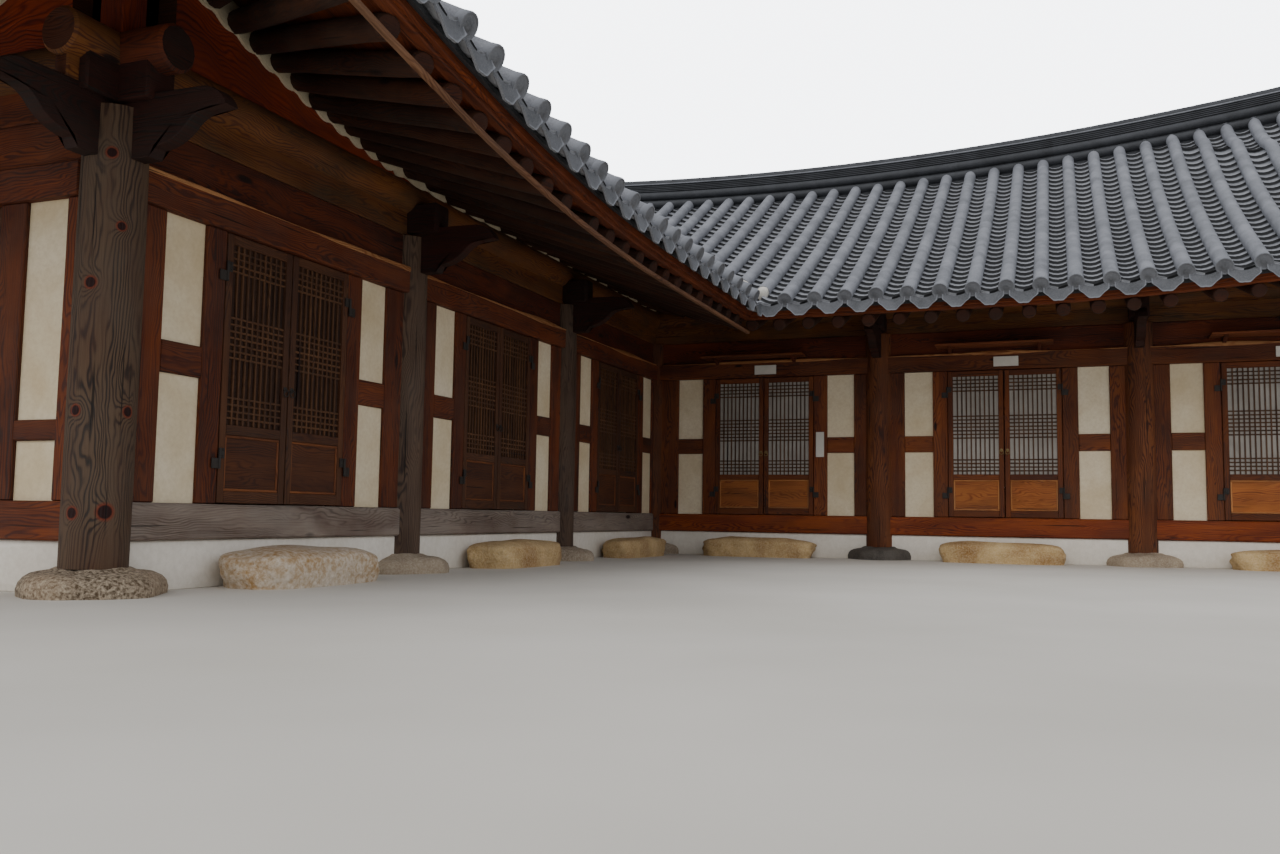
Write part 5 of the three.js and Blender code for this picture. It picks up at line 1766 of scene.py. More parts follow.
@dataclass
class Masonry:
    """The plastered base of a wing with its foundation stones, and the stepping stones."""

    side: Side
    palette: Palette
    stone_radius: float = 0.375
    base_set_in: float = 0.01

    STONE_SHIFTS: ClassVar[dict[tuple[Side, int], Range]] = {
        (Side.LEFT, 3): (-0.03, -0.22),
        (Side.BACK, 1): (-0.03, 0.03),
        (Side.BACK, 2): (-0.04, -0.08),
    }

    def build(self) -> None:
        """Builds the base and the stepping stones."""
        self.base()
        for number in (1, 2, 3):
            self.stepping_stone(number)

    def base(self) -> None:
        """The base block and an uneven stone under each column."""
        plan = PLANS[self.side]
        inset = self.base_set_in
        start = inset - OUTER_FACE if self.side is Side.BACK else -inset + 0.0003
        batch = Batch(wall_place(self.side, Wall.COURT))
        block = ((start, plan.end_face - inset), (inset, OUTER_FACE - inset), (0.0, BASE_TOP))
        batch.add(with_finish(timber(block, 0, 0.006, 0.5, 0.0), 0))
        spots = [(u, v) for u in plan.columns for v in (COLUMN_SET_IN, OUTER_LINE)]
        spots.append((plan.columns[-1], MIDDLE_LINE))
        if self.side is Side.BACK:
            spots += [(INNER_COLUMN, COLUMN_SET_IN), (INNER_COLUMN, OUTER_LINE), (-MIDDLE_LINE, OUTER_LINE)]
            spots += [(OUTER_CORNER, v) for v in (COLUMN_SET_IN, MIDDLE_LINE, OUTER_LINE)]
        special = {0: 3} if self.side is Side.BACK else {4: 2}
        for number, (u, v) in enumerate(spots):
            batch.add(with_finish(self.stone(u, v, number), special.get(number, 1)))
        name = f"{self.side.value}_base"
        materials = self.palette.pick("base_lime", "tan_stone", "granite", "slate")
        batch.build(f"{name}_masonry", "house", "lime", materials, (name,), 50.0)

    def stone(self, u: float, v: float, number: int) -> Patch:
        """A flat natural stone: rings from its foot over a rounded shoulder to a rise at the column."""
        t = turns(40)
        uneven = 1 + 0.035 * np.sin(3 * t + number) + 0.025 * np.sin(5 * t + 2.3 * number)
        uneven = uneven + 0.012 * np.sin(11 * t)
        square = 1 + 0.05 * np.cos(4 * t + 0.6 * np.sin(number))
        shape = np.array([
            [0.0, 0.99], [0.25, 1.0], [0.5, 0.97], [0.68, 0.91], [0.8, 0.82],
            [0.86, 0.7], [0.9, 0.58], [1.0, 0.5], [1.02, 0.44],
        ])
        rise, share = shape[:, 0, None], shape[:, 1, None]
        swell = 1 + (uneven * square - 1) * np.clip(share * 2 - 0.9, 0, 1)
        radius = np.minimum(self.stone_radius * 0.94 * share * swell, self.stone_radius)
        bumps = 0.006 * np.sin(2 * t + number + 3 * share) + 0.004 * np.sin(7 * t - number + 9 * share)
        z = np.clip(rise * STONE_TOP + bumps * rise**0.5, 0.0, STONE_TOP + 0.008)
        points = np.stack([u + radius * np.cos(t), v + radius * np.sin(t), z], -1)
        return grid_patch(points, mesh_map(shape[:, 0], np.append(t, 2 * math.pi)))

    def stepping_stone(self, number: int) -> None:
        """A boulder that fills its solid's box: a rounded block swollen by sums of sines."""
        name = f"{self.side.value}_stepping_stone_{number}"
        low, high = (np.array(corner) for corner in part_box(name))
        axis = 0 if self.side is Side.BACK else 1
        start, end = self.STONE_SHIFTS.get((self.side, number), (0.0, 0.0))
        low[axis] += start
        high[axis] += end
        seed = number * 1.9 + (0.0 if self.side is Side.BACK else 4.0)
        t = turns(48)
        rise = np.linspace(0, 1, 15)[:, None]

        def soft(value: Array, power: float) -> Array:
            """A sine or cosine drawn towards a square."""
            return np.sign(value) * np.abs(value) ** power

        spread = (1 - np.clip(rise - 0.45, 0, 1) ** 3.2 * 3.1) * (0.95 + 0.1 * np.clip(rise * 3, 0, 0.5))
        rough = 0.03 * np.sin(3 * t + seed) + 0.025 * np.sin(5 * t - seed + 4 * rise)
        rough = rough + 0.012 * np.sin(11 * t + 9 * rise + seed) + 0.01 * np.sin(17 * t - 13 * rise)
        x = soft(np.cos(t), 0.55) * spread * (1 + rough)
        y = soft(np.sin(t), 0.55) * spread * (1 + rough)
        z = rise**0.62 * (1 + 0.045 * np.sin(2.2 * x + seed) + 0.03 * np.sin(5 * y + 3 * x + seed))
        points = np.stack([x, y, z + 0 * x], -1)
        points[0, :, 2] = 0.0
        flat = points.reshape(-1, 3)
        points = (points - flat.min(0)) / (flat.max(0) - flat.min(0)) * (high - low) + low
        batch = Batch().add(grid_patch(points, mesh_map(rise[:, 0], np.append(t, 2 * math.pi))))
        kind = "patchy_stone" if self.side is Side.LEFT and number == 3 else "ochre_stone"
        batch.build(f"{name}_boulder", "house", "boulder", self.palette.pick(kind), (name,), 60.0)


@dataclass
class Carpentry:
    """The roof's timber of one wing: boards, rafters, hip rafters, fascia and eave plaster."""

    side: Side
    palette: Palette
    board_rows: int = 17
    rafter_sides: int = 12
    fascia_d: float = 0.185
    eave_step: float = 0.25

    def __post_init__(self) -> None:
        """Keeps the roof's shape and its slopes."""
        self.roof = RoofShape(self.side)
        self.slopes = {kind: SlopePlan(self.roof, kind) for kind in Slope}

    def build(self) -> None:
        """Builds the timber as one piece and the plaster over the purlins as another."""
        batch = Batch(WING_PLACE[self.side])
        for kind, slope in self.slopes.items():
            inner = GABLE if kind is Slope.END else HALF_SPAN - 0.02
            rows = np.linspace(EAVE_OUT - DECK_OUT, inner, self.board_rows)
            batch.add(with_finish(slope.sheet(self.roof.deck_top, rows, 41, -0.034, -0.004), 2))
        for start, end in self.rafters():
            batch.add(with_finish(self.rafter(start, end), 0, 1))
        for outer in (False, True):
            batch.add(with_finish(self.hip_rafter(outer), 0, 1))
        for kind in Slope:
            batch.add(*self.edge_strips(kind))
        materials = self.palette.pick("rafter_wood", "rafter_end", "eave_board", "fascia_wood")
        name = f"{self.side.value}_rafters"
        batch.build(f"{name}_wood", "house", "rafter", materials, (name,))
        plaster = Batch(WING_PLACE[self.side])
        for kind in Slope:
            plaster.add(self.purlin_plaster(kind))
        name = f"{self.side.value}_eave_plaster"
        plaster.build(name, "house", "plaster", self.palette.pick("eave_plaster"))

    def fan(self) -> list[tuple[Range, Range]]:
        """The court slope's fan: rafters that run towards one point over the middle of the wing."""
        middle = self.roof.plan.fan_middle
        last = self.roof.plan.eave_end - (EAVE_OUT - RAFTER_OUT) - HIP_CLEARANCE
        share = (RAFTER_END + RAFTER_OUT) / (MIDDLE_LINE + RAFTER_OUT)
        places = np.arange(middle + RAFTER_PITCH, last, RAFTER_PITCH)
        return [((u, -RAFTER_OUT), (u + (middle - u) * share, RAFTER_END)) for u in places]

    def rafters(self) -> list[tuple[Array, Array]]:
        """Both ends of every rafter's axis."""
        end = self.roof.plan.eave_end
        fan_middle = self.roof.plan.fan_middle
        fan = self.fan()
        court = []
        for u in np.arange(FIRST_RAFTER, fan_middle + 0.01, RAFTER_PITCH):
            court.append(((u, max(-RAFTER_OUT, VALLEY_CLEARANCE - u)), (u, RAFTER_END)))
        court += fan
        turned = [[(end - EAVE_OUT - v, end - EAVE_OUT - u) for u, v in pair] for pair in fan]
        across = [[(u, OUTER_FACE - v) for u, v in pair] for pair in turned]
        middle = [[(end - (EAVE_OUT - RAFTER_OUT), MIDDLE_LINE), (end - EAVE_OUT - RAFTER_END, MIDDLE_LINE)]]
        outer = []
        for u in np.arange(end - fan_middle - EAVE_FAR, fan_middle + 0.01, RAFTER_PITCH):
            outer.append(((u, OUTER_FACE + RAFTER_OUT), (u, OUTER_FACE - RAFTER_END)))
        outer += [[(u, OUTER_FACE - v) for u, v in pair] for pair in fan]
        outer += [[(end - EAVE_FAR - u, OUTER_FACE - v) for u, v in pair] for pair in fan]
        found = []
        ends = turned + across + middle
        for pairs, kind in ((court, Slope.COURT), (ends, Slope.END), (outer, Slope.OUTER)):
            for pair in pairs:
                found.append(tuple(self.axis_point(kind, u, v) for u, v in pair))
        return found

    def axis_point(self, kind: Slope, u: float, v: float) -> Array:
        """A point of the rafters' axes: a fixed depth under the boards' top."""
        end = self.roof.plan.eave_end
        depth = {Slope.COURT: v + EAVE_OUT, Slope.OUTER: EAVE_FAR - v, Slope.END: end - u}
        values = (np.array(float(value)) for value in (u, v, depth[kind]))
        return self.roof.surface(self.roof.deck_top, *values, -DECK_ABOVE_AXIS)

    def rafter(self, tip: Array, inner: Array) -> Patch:
        """A round rafter: its radius and axis waver, and its tip is a little smaller."""
        length = float(np.linalg.norm(inner - tip))
        at = np.array([0.0, 0.012, *np.linspace(0.3, max(0.5, length - 0.1), 4), length])
        path = tip + (inner - tip) * (at / length)[:, None]
        path[:, 2] += waver(at, 0.005) - waver(np.zeros(1), 0.005)
        scale = 0.95 + 0.05 * np.minimum(at / 1.2, 1) + waver(at * 1.3 + 5, 0.02)
        scale[0] *= 0.84
        return sweep(circle(RAFTER_RADIUS, self.rafter_sides), path, scale, 1)

    def hip_rafter(self, outer: bool) -> Patch:
        """The squared rafter under an end hip, its lower end narrowed upwards."""
        end = self.roof.plan.eave_end
        points = []
        for d in np.linspace(0.13, EAVE_OUT + RAFTER_END, 7):
            v = EAVE_FAR - d if outer else d - EAVE_OUT
            values = (np.array(float(value)) for value in (end - d, v, d))
            points.append(self.roof.surface(self.roof.deck_top, *values, -DECK_ABOVE_AXIS - 0.05))
        scale = np.ones(len(points))
        scale[0] = 0.86
        return sweep(rounded_box(0.19, 0.23, 0.02), np.stack(points), scale, 1)

    def eave_path(self, kind: Slope, d: float, rise: float) -> Array:
        """A line along the eave, at a distance from its edge and a height over the boards."""
        slope = self.slopes[kind]
        low, high = (float(value) for value in slope.limits(np.array(d)))
        along = np.linspace(low, high, int((high - low) / self.eave_step))
        u, v = slope.plan(along, np.full_like(along, d))
        path = self.roof.surface(self.roof.deck_top, u, v, np.full_like(along, d), rise)
        return path[::-1] if kind is Slope.OUTER else path

    def edge_strips(self, kind: Slope) -> list[Patch]:
        """The fascia on the rafter tips, the board between it and the tiles, and the left wing's lath.

        The lath is thin and light and runs along the left wing's courtyard, in front of the
        rafter tips' lower edge.
        """
        fascia = self.eave_path(kind, self.fascia_d, -0.018)
        strip = sweep(rounded_box(0.075, 0.07, 0.008), fascia, end_finish=1)
        upper = self.eave_path(kind, self.fascia_d - 0.045, 0.045)
        board = sweep(rounded_box(0.04, 0.1, 0.004), upper)
        patches = [with_finish(strip, 2, 1), with_finish(board, 2)]
        if self.side is Side.LEFT and kind is Slope.COURT:
            foot = self.eave_path(kind, EAVE_OUT - RAFTER_OUT - 0.02, -DECK_ABOVE_AXIS - 0.06)
            patches.append(with_finish(sweep(rounded_box(0.035, 0.03, 0.005), foot), 3))
        return patches

    def purlin_plaster(self, kind: Slope) -> Patch:
        """Plaster between the rafters over the purlin: its lower edge hangs down beside each rafter.

        The rafters' places along the purlin follow from their tips: in a fan a tip's distance from
        the fan's middle shrinks inwards in proportion to the distance from the middle line.
        """
        wall = {Slope.COURT: Wall.COURT, Slope.OUTER: Wall.OUTER, Slope.END: Wall.END}[kind]
        slope = self.slopes[kind]
        low, high = (float(value) for value in slope.limits(np.array(EAVE_OUT)))
        low, high = low + 0.1, high - 0.1
        along = np.linspace(low, high, int((high - low) / RAFTER_PITCH * 10))
        middle = self.roof.plan.fan_middle if kind is not Slope.END else MIDDLE_LINE
        spread = (MIDDLE_LINE + RAFTER_OUT) / (MIDDLE_LINE - WEDGE_W[0])
        fanned = middle + (along - middle) * spread
        tips = np.where((along > middle) | (kind is Slope.END), fanned - middle, along - FIRST_RAFTER)
        sag = 0.035 * np.abs(np.sin(math.pi * tips / RAFTER_PITCH))
        low_z = np.maximum(self.roof.wedge_top(along, WEDGE_W[0], wall), PURLIN_AXIS + 0.09)
        rings = []
        for w, z in ((WEDGE_W[0] - 0.012, low_z + 0.012 - sag), (WEDGE_W[1], low_z)):
            d = np.full_like(along, EAVE_OUT + w)
            u, v = slope.plan(along, d)
            top = self.roof.surface(self.roof.deck_top, u, v, d, -0.04)
            rings.append((np.stack([top[:, 0], top[:, 1], np.minimum(z, top[:, 2] - 0.01)], 1), top))
        (outer_low, outer_top), (inner_low, top) = rings
        ring = np.stack([outer_low, inner_low, top, outer_top], 1)
        uv = mesh_map(along, np.arange(5) * 0.1)
        if kind is Slope.OUTER:
            ring, uv = ring[::-1], uv[::-1]
        return grid_patch(ring, uv)


def hollow_section(half: float, depth: float, count: int) -> Array:
    """The section of a channel row: a parabola of count points, and half as many under it."""
    x = np.linspace(1, -1, count) * half
    hollow = depth * ((x / half) ** 2 - 1)
    under = np.stack([x[::-2], hollow[::-2] - 0.03], 1)
    return np.concatenate([np.stack([x, hollow], 1), under])


@dataclass
class Tiles:
    """The tiles of one wing: bed, convex rows, channel rows, end discs, drips and valley plugs."""

    side: Side
    palette: Palette
    convex_radius: float = 0.07
    convex_step: float = 0.27
    channel_half: float = 0.128
    channel_depth: float = 0.052
    channel_step: float = 0.145
    channel_lip: float = 0.024
    disc_radius: float = 0.075
    valley_gap: float = 0.24
    bed_depth: float = 0.085

    def __post_init__(self) -> None:
        """Keeps the roof's shape and its slopes."""
        self.roof = RoofShape(self.side)
        self.slopes = {kind: SlopePlan(self.roof, kind) for kind in Slope}

    def build(self) -> None:
        """Builds one piece for the bed, and one of tiles for each slope."""
        bed = Batch(WING_PLACE[self.side])
        for kind, slope in self.slopes.items():
            inner = GABLE if kind is Slope.END else HALF_SPAN - 0.01
            rows = np.linspace(0.07, inner, 15)
            bed.add(slope.sheet(self.roof.tile_top, rows, 41, -self.bed_depth - 0.03, -self.bed_depth))
        name = f"{self.side.value}_roof"
        bed.build(f"{name}_bed", "house", "tile", self.palette.pick("ridge_tile"), (name,))
        for kind, slope in self.slopes.items():
            self.slope_tiles(kind, slope)

    def slope_tiles(self, kind: Slope, slope: SlopePlan) -> None:
        """Builds the tiles of one slope.

        Args:
            kind: Which slope.
            slope: Its plan.
        """
        channels = Batch(WING_PLACE[self.side])
        rows = Batch(WING_PLACE[self.side])
        for along in slope.rows(TILE_PITCH / 2):
            first, last = slope.row_span(float(along))
            if last - first > 0.2:
                channels.add(self.channel_row(slope, float(along), first, last))
            if first == 0.0:
                channels.add(with_finish(self.drip(slope, float(along)), 1))
        for along in slope.rows():
            first, last = slope.row_span(float(along))
            if last - first < 0.2:
                continue
            rows.add(self.convex_row(slope, float(along), first, last))
            if first == 0.0:
                rows.add(with_finish(self.end_disc(slope, float(along)), 1))
            else:
                rows.add(with_finish(self.plug(slope, float(along), first), 2))
        name = f"{self.side.value}_{kind.value}"
        clay = self.palette.pick("channel_tile", "end_tile")
        channels.build(f"{name}_channel_tiles", "house", "tile", clay)
        clay = self.palette.pick("convex_tile", "end_tile", "mortar")
        rows.build(f"{name}_convex_tiles", "house", "tile", clay)

    @staticmethod
    def steps(first: float, last: float, step: float, tail: float) -> tuple[Array, Array, Array]:
        """Two rings for each tile: one at its lower lip, one just before the next tile's lip.

        Args:
            first: Where the row starts.
            last: Where it stops.
            step: The exposed length of a tile.
            tail: The part of the step that is left before the next lip.

        Returns:
            The rings' distances, how far up its tile each ring lies, and the tile count to it.
        """
        count = max(1, int(round((last - first) / step)))
        number = np.repeat(np.arange(count), 2)
        share = np.tile([0.0, 1.0 - tail], count)
        return first + (number + share) * (last - first) / count, share, number + share

    def convex_row(self, slope: SlopePlan, along: float, first: float, last: float) -> Patch:
        """Half-round tiles laid end to end, so that the row is smooth from eave to ridge."""
        start = first + (self.valley_gap if first > 0 else 0.0)
        d, share, count = self.steps(start, last - 0.06, self.convex_step, 0.02)
        path = slope.line(self.roof.tile_top, along, d, ROW_RISE)
        turn = np.radians(np.linspace(-22, 202, 11))
        arc = np.stack([np.cos(turn), np.sin(turn)], 1) * self.convex_radius
        return sweep(arc, path, 1.0 - 0.012 * share, uv_along=count)

    def channel_row(self, slope: SlopePlan, along: float, first: float, last: float) -> Patch:
        """Hollow tiles laid like steps: the lip of each lies a tile's thickness above the next."""
        start = first + (0.1 if first > 0 else 0.0)
        d, share, count = self.steps(start, last - 0.04, self.channel_step, 0.03)
        path = slope.line(self.roof.tile_top, along, d, self.channel_lip * (1 - share) - 0.01)
        return sweep(hollow_section(self.channel_half, self.channel_depth, 7), path, uv_along=count)

    def eave_frame(self, slope: SlopePlan, along: float) -> tuple[Array, Array, Array]:
        """The eave's edge at one place: the point, the direction along it and down the slope."""
        line = slope.line(self.roof.tile_top, along, np.array([0.0, 0.25]), ROW_RISE)
        out = unit(line[0] - line[1])
        return line[0], unit(np.cross(UP, out)), out

    def end_disc(self, slope: SlopePlan, along: float) -> Patch:
        """The round end of a convex row: a raised rim round a sunk face with a low boss."""
        point, _, out = self.eave_frame(slope, along)
        profile = np.array([
            [-0.03, 0.94], [0.016, 1.0], [0.024, 0.97], [0.024, 0.86], [0.018, 0.8], [0.018, 0.42],
            [0.022, 0.34], [0.023, 0.12],
        ])
        profile[:, 1] *= self.disc_radius
        return lathe(profile, 18, point, out)

    def drip(self, slope: SlopePlan, along: float) -> Patch:
        """The hanging lip of a channel row: a shield-shaped plate that leans out downwards.

        With x from -1 to 1 across it, its upper edge lies 0.058 - 0.052 x^2 and its lower edge
        0.175 - 0.091 |x|^1.8, a little waved, below the middle of the end discs.
        """
        point, across, out = self.eave_frame(slope, along)
        out = unit(out * (1.0, 1.0, 0.0))
        x = np.linspace(-1, 1, 13)[:, None]
        t = np.linspace(0, 1, 6)[None]
        top = 0.052 * x * x - 0.058
        low = 0.091 * np.abs(x) ** 1.8 - 0.175 + 0.006 * np.cos(3 * math.pi * x)
        wide = (x * self.channel_half + 0 * t)[..., None] * across
        middle = point + wide + (top + (low - top) * t)[..., None] * UP
        lean = 0.03 * t * t - 0.02
        inner, outer = (middle + (lean + depth)[..., None] * out for depth in (0.0, 0.016))
        inside = np.minimum(np.minimum(1 - np.abs(x), (1 - t) * 0.7), 0.7)
        return slab(inner, outer, np.stack([0.01 + inside, t * 0.3 + 0 * x + IDS.next()], -1))

    def plug(self, slope: SlopePlan, along: float, first: float) -> Patch:
        """A lump of mortar that closes the lower end of a row at the valley and sags a little."""
        d = np.array([first + self.valley_gap, first + 0.5])
        line = slope.line(self.roof.tile_top, along, d, ROW_RISE)
        out = unit(line[0] - line[1])
        profile = np.array([[-0.03, 0.06], [0.0, 0.066], [0.03, 0.064], [0.058, 0.05], [0.07, 0.02]])
        lump = lathe(profile, 14, line[0], out)
        reach = np.maximum((lump.points - line[0]) @ out, 0.0)[:, None]
        rough = 0.004 * np.sin(lump.points * 90.0 + along)
        points = lump.points + rough - reach * (0.0, 0.0, 0.45)
        return Patch(points, lump.faces, lump.uvs, lump.finishes)


@dataclass
class RidgeSection:
    """The section of a ridge: rounded bands of half-round tiles, then thin tiles laid flat."""

    half: float
    height: float
    bands: tuple[Range, ...]
    layers: int
    layer_half: float
    cap: float = 0.066
    groove: float = 0.014

    @property
    def plate_z(self) -> float:
        """The middle height of the light plate under the cap row."""
        return self.height - self.cap + 0.002

    @cached_property
    def profile(self) -> Array:
        """Half of the section from its foot upwards, mirrored for the other half."""
        right = [(self.half - 0.045, -0.04)]
        for low, high in self.bands:
            turn = np.radians([-80, -45, -10, 25, 55, 80])
            x = self.half - 0.05 + 0.05 * np.cos(turn)
            z = (low + high) / 2 + (high - low) / 2 * np.sin(turn)
            right += [(self.half - 0.06, low - 0.004), *zip(x, z), (self.half - 0.06, high + 0.004)]
        z = np.linspace(self.bands[-1][1] + 0.008, self.plate_z, self.layers + 1)
        for low, high in zip(z, z[1:]):
            right += [(self.layer_half - self.groove, low + 0.003), (self.layer_half, low + 0.01)]
            right += [(self.layer_half, high - 0.002), (self.layer_half - self.groove, high)]
        left = [(-x, height) for x, height in reversed(right)]
        return np.array(right + left)


MAIN_RIDGE = RidgeSection(0.168, 0.48, ((0.03, 0.135), (0.155, 0.262)), 5, 0.125, 0.095)
SIDE_RIDGE = RidgeSection(0.13, 0.235, ((0.0, 0.095),), 3, 0.095)


@dataclass
class Ridges:
    """Main ridge, verge ridges and hip ridges of one wing, each a layered wall under a cap row."""

    side: Side
    palette: Palette
    cap_step: float = 0.29

    def __post_init__(self) -> None:
        """Keeps the roof's shape and its slopes."""
        self.roof = RoofShape(self.side)
        self.slopes = {kind: SlopePlan(self.roof, kind) for kind in Slope}

    def build(self) -> None:
        """Builds the wing's ridges as one piece."""
        batch = Batch(WING_PLACE[self.side])
        end = self.roof.plan.eave_end
        top = np.arange(-MIDDLE_LINE + 0.02, end - GABLE - 0.01, 0.25)
        path = self.crest(np.append(top, end - GABLE - 0.012))
        batch.add(*self.stack(path, MAIN_RIDGE))
        for outer in (False, True):
            batch.add(*self.stack(self.verge(outer), SIDE_RIDGE))
            batch.add(*self.stack(self.hip(outer), SIDE_RIDGE))
        name = f"{self.side.value}_ridge"
        materials = self.palette.pick("ridge_tile", "convex_tile", "end_tile")
        batch.build(f"{name}_tiles", "house", "tile", materials, (name,))

    def crest(self, u: Array) -> Array:
        """The foot of the main ridge."""
        d = np.full_like(u, HALF_SPAN - RIDGE_HALF)
        z = self.roof.tile_top(u, np.full_like(u, MIDDLE_LINE), d)
        return np.stack([u, np.full_like(u, MIDDLE_LINE), z], 1)

    def verge(self, outer: bool) -> Array:
        """The foot of a verge ridge, from the hip's head up to the main ridge."""
        slope = self.slopes[Slope.OUTER if outer else Slope.COURT]
        d = np.linspace(GABLE - 0.12, HALF_SPAN - RIDGE_HALF, 14)
        return slope.line(self.roof.tile_top, self.roof.plan.eave_end - GABLE - 0.13, d)

    def hip(self, outer: bool) -> Array:
        """The foot of a hip ridge, from the corner of the eaves up to the verge."""
        d = np.linspace(0.12, GABLE + 0.05, 14)
        u = self.roof.plan.eave_end - d
        v = EAVE_FAR - d if outer else d - EAVE_OUT
        return self.roof.surface(self.roof.tile_top, u, v, d)

    def stack(self, path: Array, section: RidgeSection) -> list[Patch]:
        """The wall of a ridge with a light plate and a cap row on it.

        Args:
            path: The ridge's foot.
            section: Its section.

        Returns:
            The patches.
        """
        wall = sweep(section.profile, path)
        length = distances(path)
        at, share, count = Tiles.steps(0.02, float(length[-1]) - 0.02, self.cap_step, 0.03)
        line = np.stack([np.interp(at, length, path[:, k]) for k in range(3)], 1)
        turn = np.radians(np.linspace(-5, 185, 9))
        arc = np.stack([np.cos(turn), np.sin(turn)], 1) * section.cap
        rise = np.array((0.0, 0.0, section.plate_z))
        cap = sweep(arc, line + rise + (0.0, 0.0, 0.003), 1.0 - 0.02 * share, uv_along=count)
        light = sweep(rounded_box(2 * section.layer_half + 0.02, 0.016, 0.004), path + rise)
        return [wall, cap, with_finish(light, 1)]


@dataclass
class CornerHip:
    """The hip ridge over the outer corner between the two wings, and the valley over the inner one."""

    palette: Palette

    def build(self) -> None:
        """Builds both."""
        ridges = Ridges(Side.BACK, self.palette)
        d = np.linspace(0.12, HALF_SPAN - RIDGE_HALF - 0.01, 22)
        path = ridges.roof.surface(ridges.roof.tile_top, d - EAVE_FAR, EAVE_FAR - d, d)
        batch = Batch(WING_PLACE[Side.BACK]).add(*ridges.stack(path, SIDE_RIDGE))
        materials = self.palette.pick("ridge_tile", "convex_tile", "end_tile")
        batch.build("corner_hip_ridge_tiles", "house", "tile", materials, ("corner_hip_ridge",))
        self.valley(ridges.roof)

    def valley(self, roof: RoofShape) -> None:
        """A wide channel of tiles down the valley, stepped like the other channels."""
        d, share, count = Tiles.steps(0.0, HALF_SPAN - 0.15, 0.16, 0.03)
        path = roof.surface(roof.tile_top, EAVE_OUT - d, d - EAVE_OUT, d, 0.018 * (1 - share) - 0.03)
        channel = sweep(hollow_section(0.21, 0.06, 9), path, uv_along=count)
        batch = Batch(WING_PLACE[Side.BACK]).add(channel)
        batch.build("valley_channel_tiles", "house", "tile", self.palette.pick("channel_tile"))


@dataclass
class Gable:
    """The gable of one wing: a plastered panel between bargeboards."""

    side: Side
    palette: Palette
    panel_thickness: float = 0.06
    board_depth: float = 0.27
    board_thickness: float = 0.05

    def build(self) -> None:
        """Builds the panel and its boards as one piece."""
        roof = RoofShape(self.side)
        face = roof.plan.end_face - GABLE_SET_IN
        v = np.linspace(GABLE_SET_IN + 0.2, OUTER_FACE - GABLE_SET_IN - 0.2, 41)
        d = np.minimum(v + EAVE_OUT, EAVE_FAR - v)
        d = np.minimum(d, HALF_SPAN - RIDGE_HALF)
        top = roof.tile_top(np.full_like(v, face), v, d) - 0.03
        low = roof.tile_top(np.full_like(v, face), v, np.full_like(v, GABLE)) + 0.002
        low = np.minimum(low, top - 0.01)
        share = np.linspace(0, 1, 6)[None]
        z = low[:, None] + (top - low)[:, None] * share
        wide = np.broadcast_to(v[:, None], z.shape)
        depths = (self.panel_thickness, 0.001)
        front, back = (np.stack([np.full_like(z, face + depth), wide, z], -1) for depth in depths)
        batch = Batch(WING_PLACE[self.side]).add(slab(front, back, np.stack([wide, z], -1)))
        for outer in (False, True):
            kind = Slope.OUTER if outer else Slope.COURT
            d = np.linspace(GABLE + 0.2, HALF_SPAN - 0.02, 16)
            path = SlopePlan(roof, kind).line(roof.tile_top, face, np.minimum(d, HALF_SPAN - RIDGE_HALF))
            path[:, 1] = EAVE_FAR - d if outer else d - EAVE_OUT
            path[:, 0] = face + self.panel_thickness + self.board_thickness / 2
            path[:, 2] -= self.board_depth / 2 + 0.005
            section = rounded_box(self.board_thickness, self.board_depth, 0.006)
            batch.add(with_finish(sweep(section, path), 1))
        name = f"{self.side.value}_gable"
        materials = self.palette.pick("wall_plaster", "dark_beam")
        batch.build(f"{name}_panel", "house", "plaster", materials, (name,))


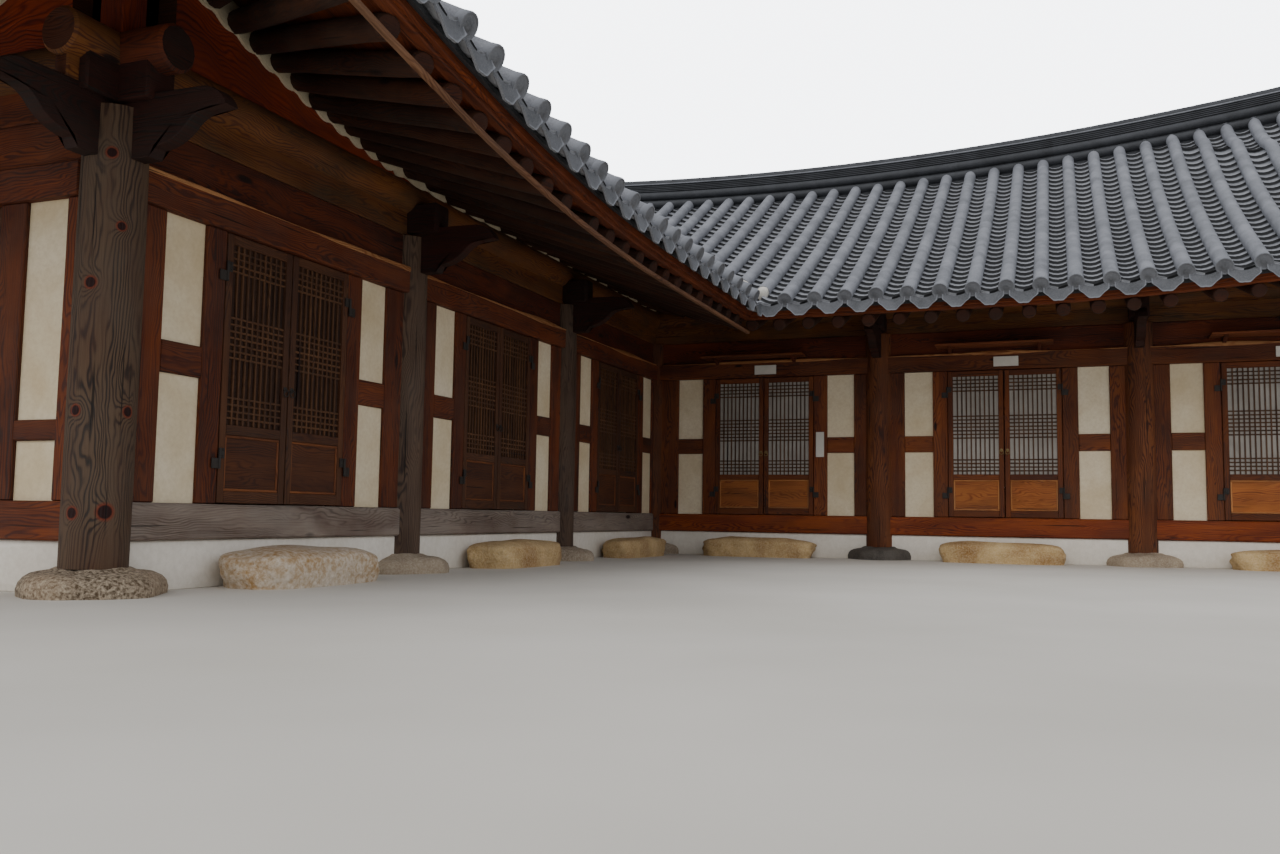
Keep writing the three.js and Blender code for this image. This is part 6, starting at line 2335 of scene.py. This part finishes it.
@dataclass(frozen=True)
class Studio:
    """The pale floor, the soft light and the camera at the photograph's angle."""

    eye: tuple[float, float, float] = (2.968, -10.652, 0.44)
    focal_pixels: float = 1084.5
    picture_width: float = 1280.0
    pitch: float = 4.695
    roll: float = -0.818
    yaw: float = -21.16
    sky_light: float = 1.0
    sky_seen: float = 6.5
    sky_tint: str = "f2f5fb"
    floor_tints: tuple[str, str] = ("c9c4ba", "d6d1c8")
    floor_half: float = 60.0
    sun_strength: float = 1.2
    sun_spread: float = 60.0
    sun_turn: tuple[float, float, float] = (42.0, 8.0, -20.0)
    sun_colour: tuple[float, float, float] = (1.0, 0.97, 0.93)

    def build(self) -> None:
        """Builds the stage."""
        self.floor()
        self.light()
        self.camera()

    def floor(self) -> None:
        """A wide plain sheet at ground level."""
        material, g, shader = new_material("pale_floor")
        dark, light = self.floor_tints
        colour = g.ramp(g.noise(g.place(), 0.6, 3.0), ((0.3, dark), (0.7, light)))
        g.fill(shader, {"Base Color": colour, "Roughness": 0.9})
        mesh = bpy.data.meshes.new("floor")
        half = self.floor_half
        square = [(-half, -half, 0), (half, -half, 0), (half, half, 0), (-half, half, 0)]
        mesh.from_pydata(square, [], [(0, 1, 2, 3)])
        mesh.materials.append(material)
        floor = bpy.data.objects.new("studio_floor", mesh)
        bpy.context.scene.collection.objects.link(floor)

    def light(self) -> None:
        """An even pale sky and one very soft sun high over the courtyard."""
        world = bpy.data.worlds.new("sky")
        bpy.context.scene.world = world
        world.use_nodes = True
        background = world.node_tree.nodes["Background"]
        g = Graph(world.node_tree)
        seen = g.node("LightPath").outputs["Is Camera Ray"]
        strength = g.span(seen, (0.0, 1.0), (self.sky_light, self.sky_seen))
        g.fill(background, {"Color": linear(self.sky_tint), "Strength": strength})
        lamp = bpy.data.lights.new("sun", "SUN")
        lamp.energy = self.sun_strength
        lamp.angle = math.radians(self.sun_spread)
        lamp.color = self.sun_colour
        sun = bpy.data.objects.new("sun", lamp)
        sun.rotation_euler = [math.radians(angle) for angle in self.sun_turn]
        bpy.context.scene.collection.objects.link(sun)

    def camera(self) -> None:
        """The camera: turned left by yaw, pitched up, then rolled about its own view line."""
        yaw, pitch, roll = (math.radians(angle) for angle in (self.yaw, self.pitch, self.roll))
        ahead = Vector((math.sin(yaw) * math.cos(pitch), math.cos(yaw) * math.cos(pitch), math.sin(pitch)))
        right = Vector((math.cos(yaw), -math.sin(yaw), 0.0))
        up = right.cross(ahead)
        x = math.cos(roll) * right - math.sin(roll) * up
        y = math.sin(roll) * right + math.cos(roll) * up
        data = bpy.data.cameras.new("camera")
        data.sensor_width = 36.0
        data.lens = self.focal_pixels / self.picture_width * data.sensor_width
        data.clip_end = 200.0
        camera = bpy.data.objects.new("camera", data)
        turn = Matrix((x, y, -ahead)).transposed().to_4x4()
        camera.matrix_world = Matrix.Translation(self.eye) @ turn
        bpy.context.scene.collection.objects.link(camera)
        bpy.context.scene.camera = camera


def dress_solids(frame: dict, palette: Palette) -> None:
    """Gives the plaster panels and the floors, whose solids stay, their finishes.

    Args:
        palette: The finishes.
    """
    for name, node in frame["nodes"].items():
        if "plaster" in name:
            palette.dress(node, "wall_plaster")
        elif name.endswith("_floor"):
            palette.dress(node, "floor_paper")


def main() -> None:
    """Builds the house's looks round its solids."""
    logging.basicConfig(level=logging.INFO, format="%(name)s: %(message)s")
    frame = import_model()
    palette = Palette()
    Studio().build()
    dress_solids(frame, palette)
    for side in Side:
        CourtWall(side, palette).build()
        for wall in (Wall.OUTER, Wall.END):
            ShellWall(side, wall, palette).build()
        Doors(side, palette).build()
        Masonry(side, palette).build()
        Carpentry(side, palette).build()
        Tiles(side, palette).build()
        Ridges(side, palette).build()
        Gable(side, palette).build()
    CornerHip(palette).build()


if __name__ == "__main__":
    main()
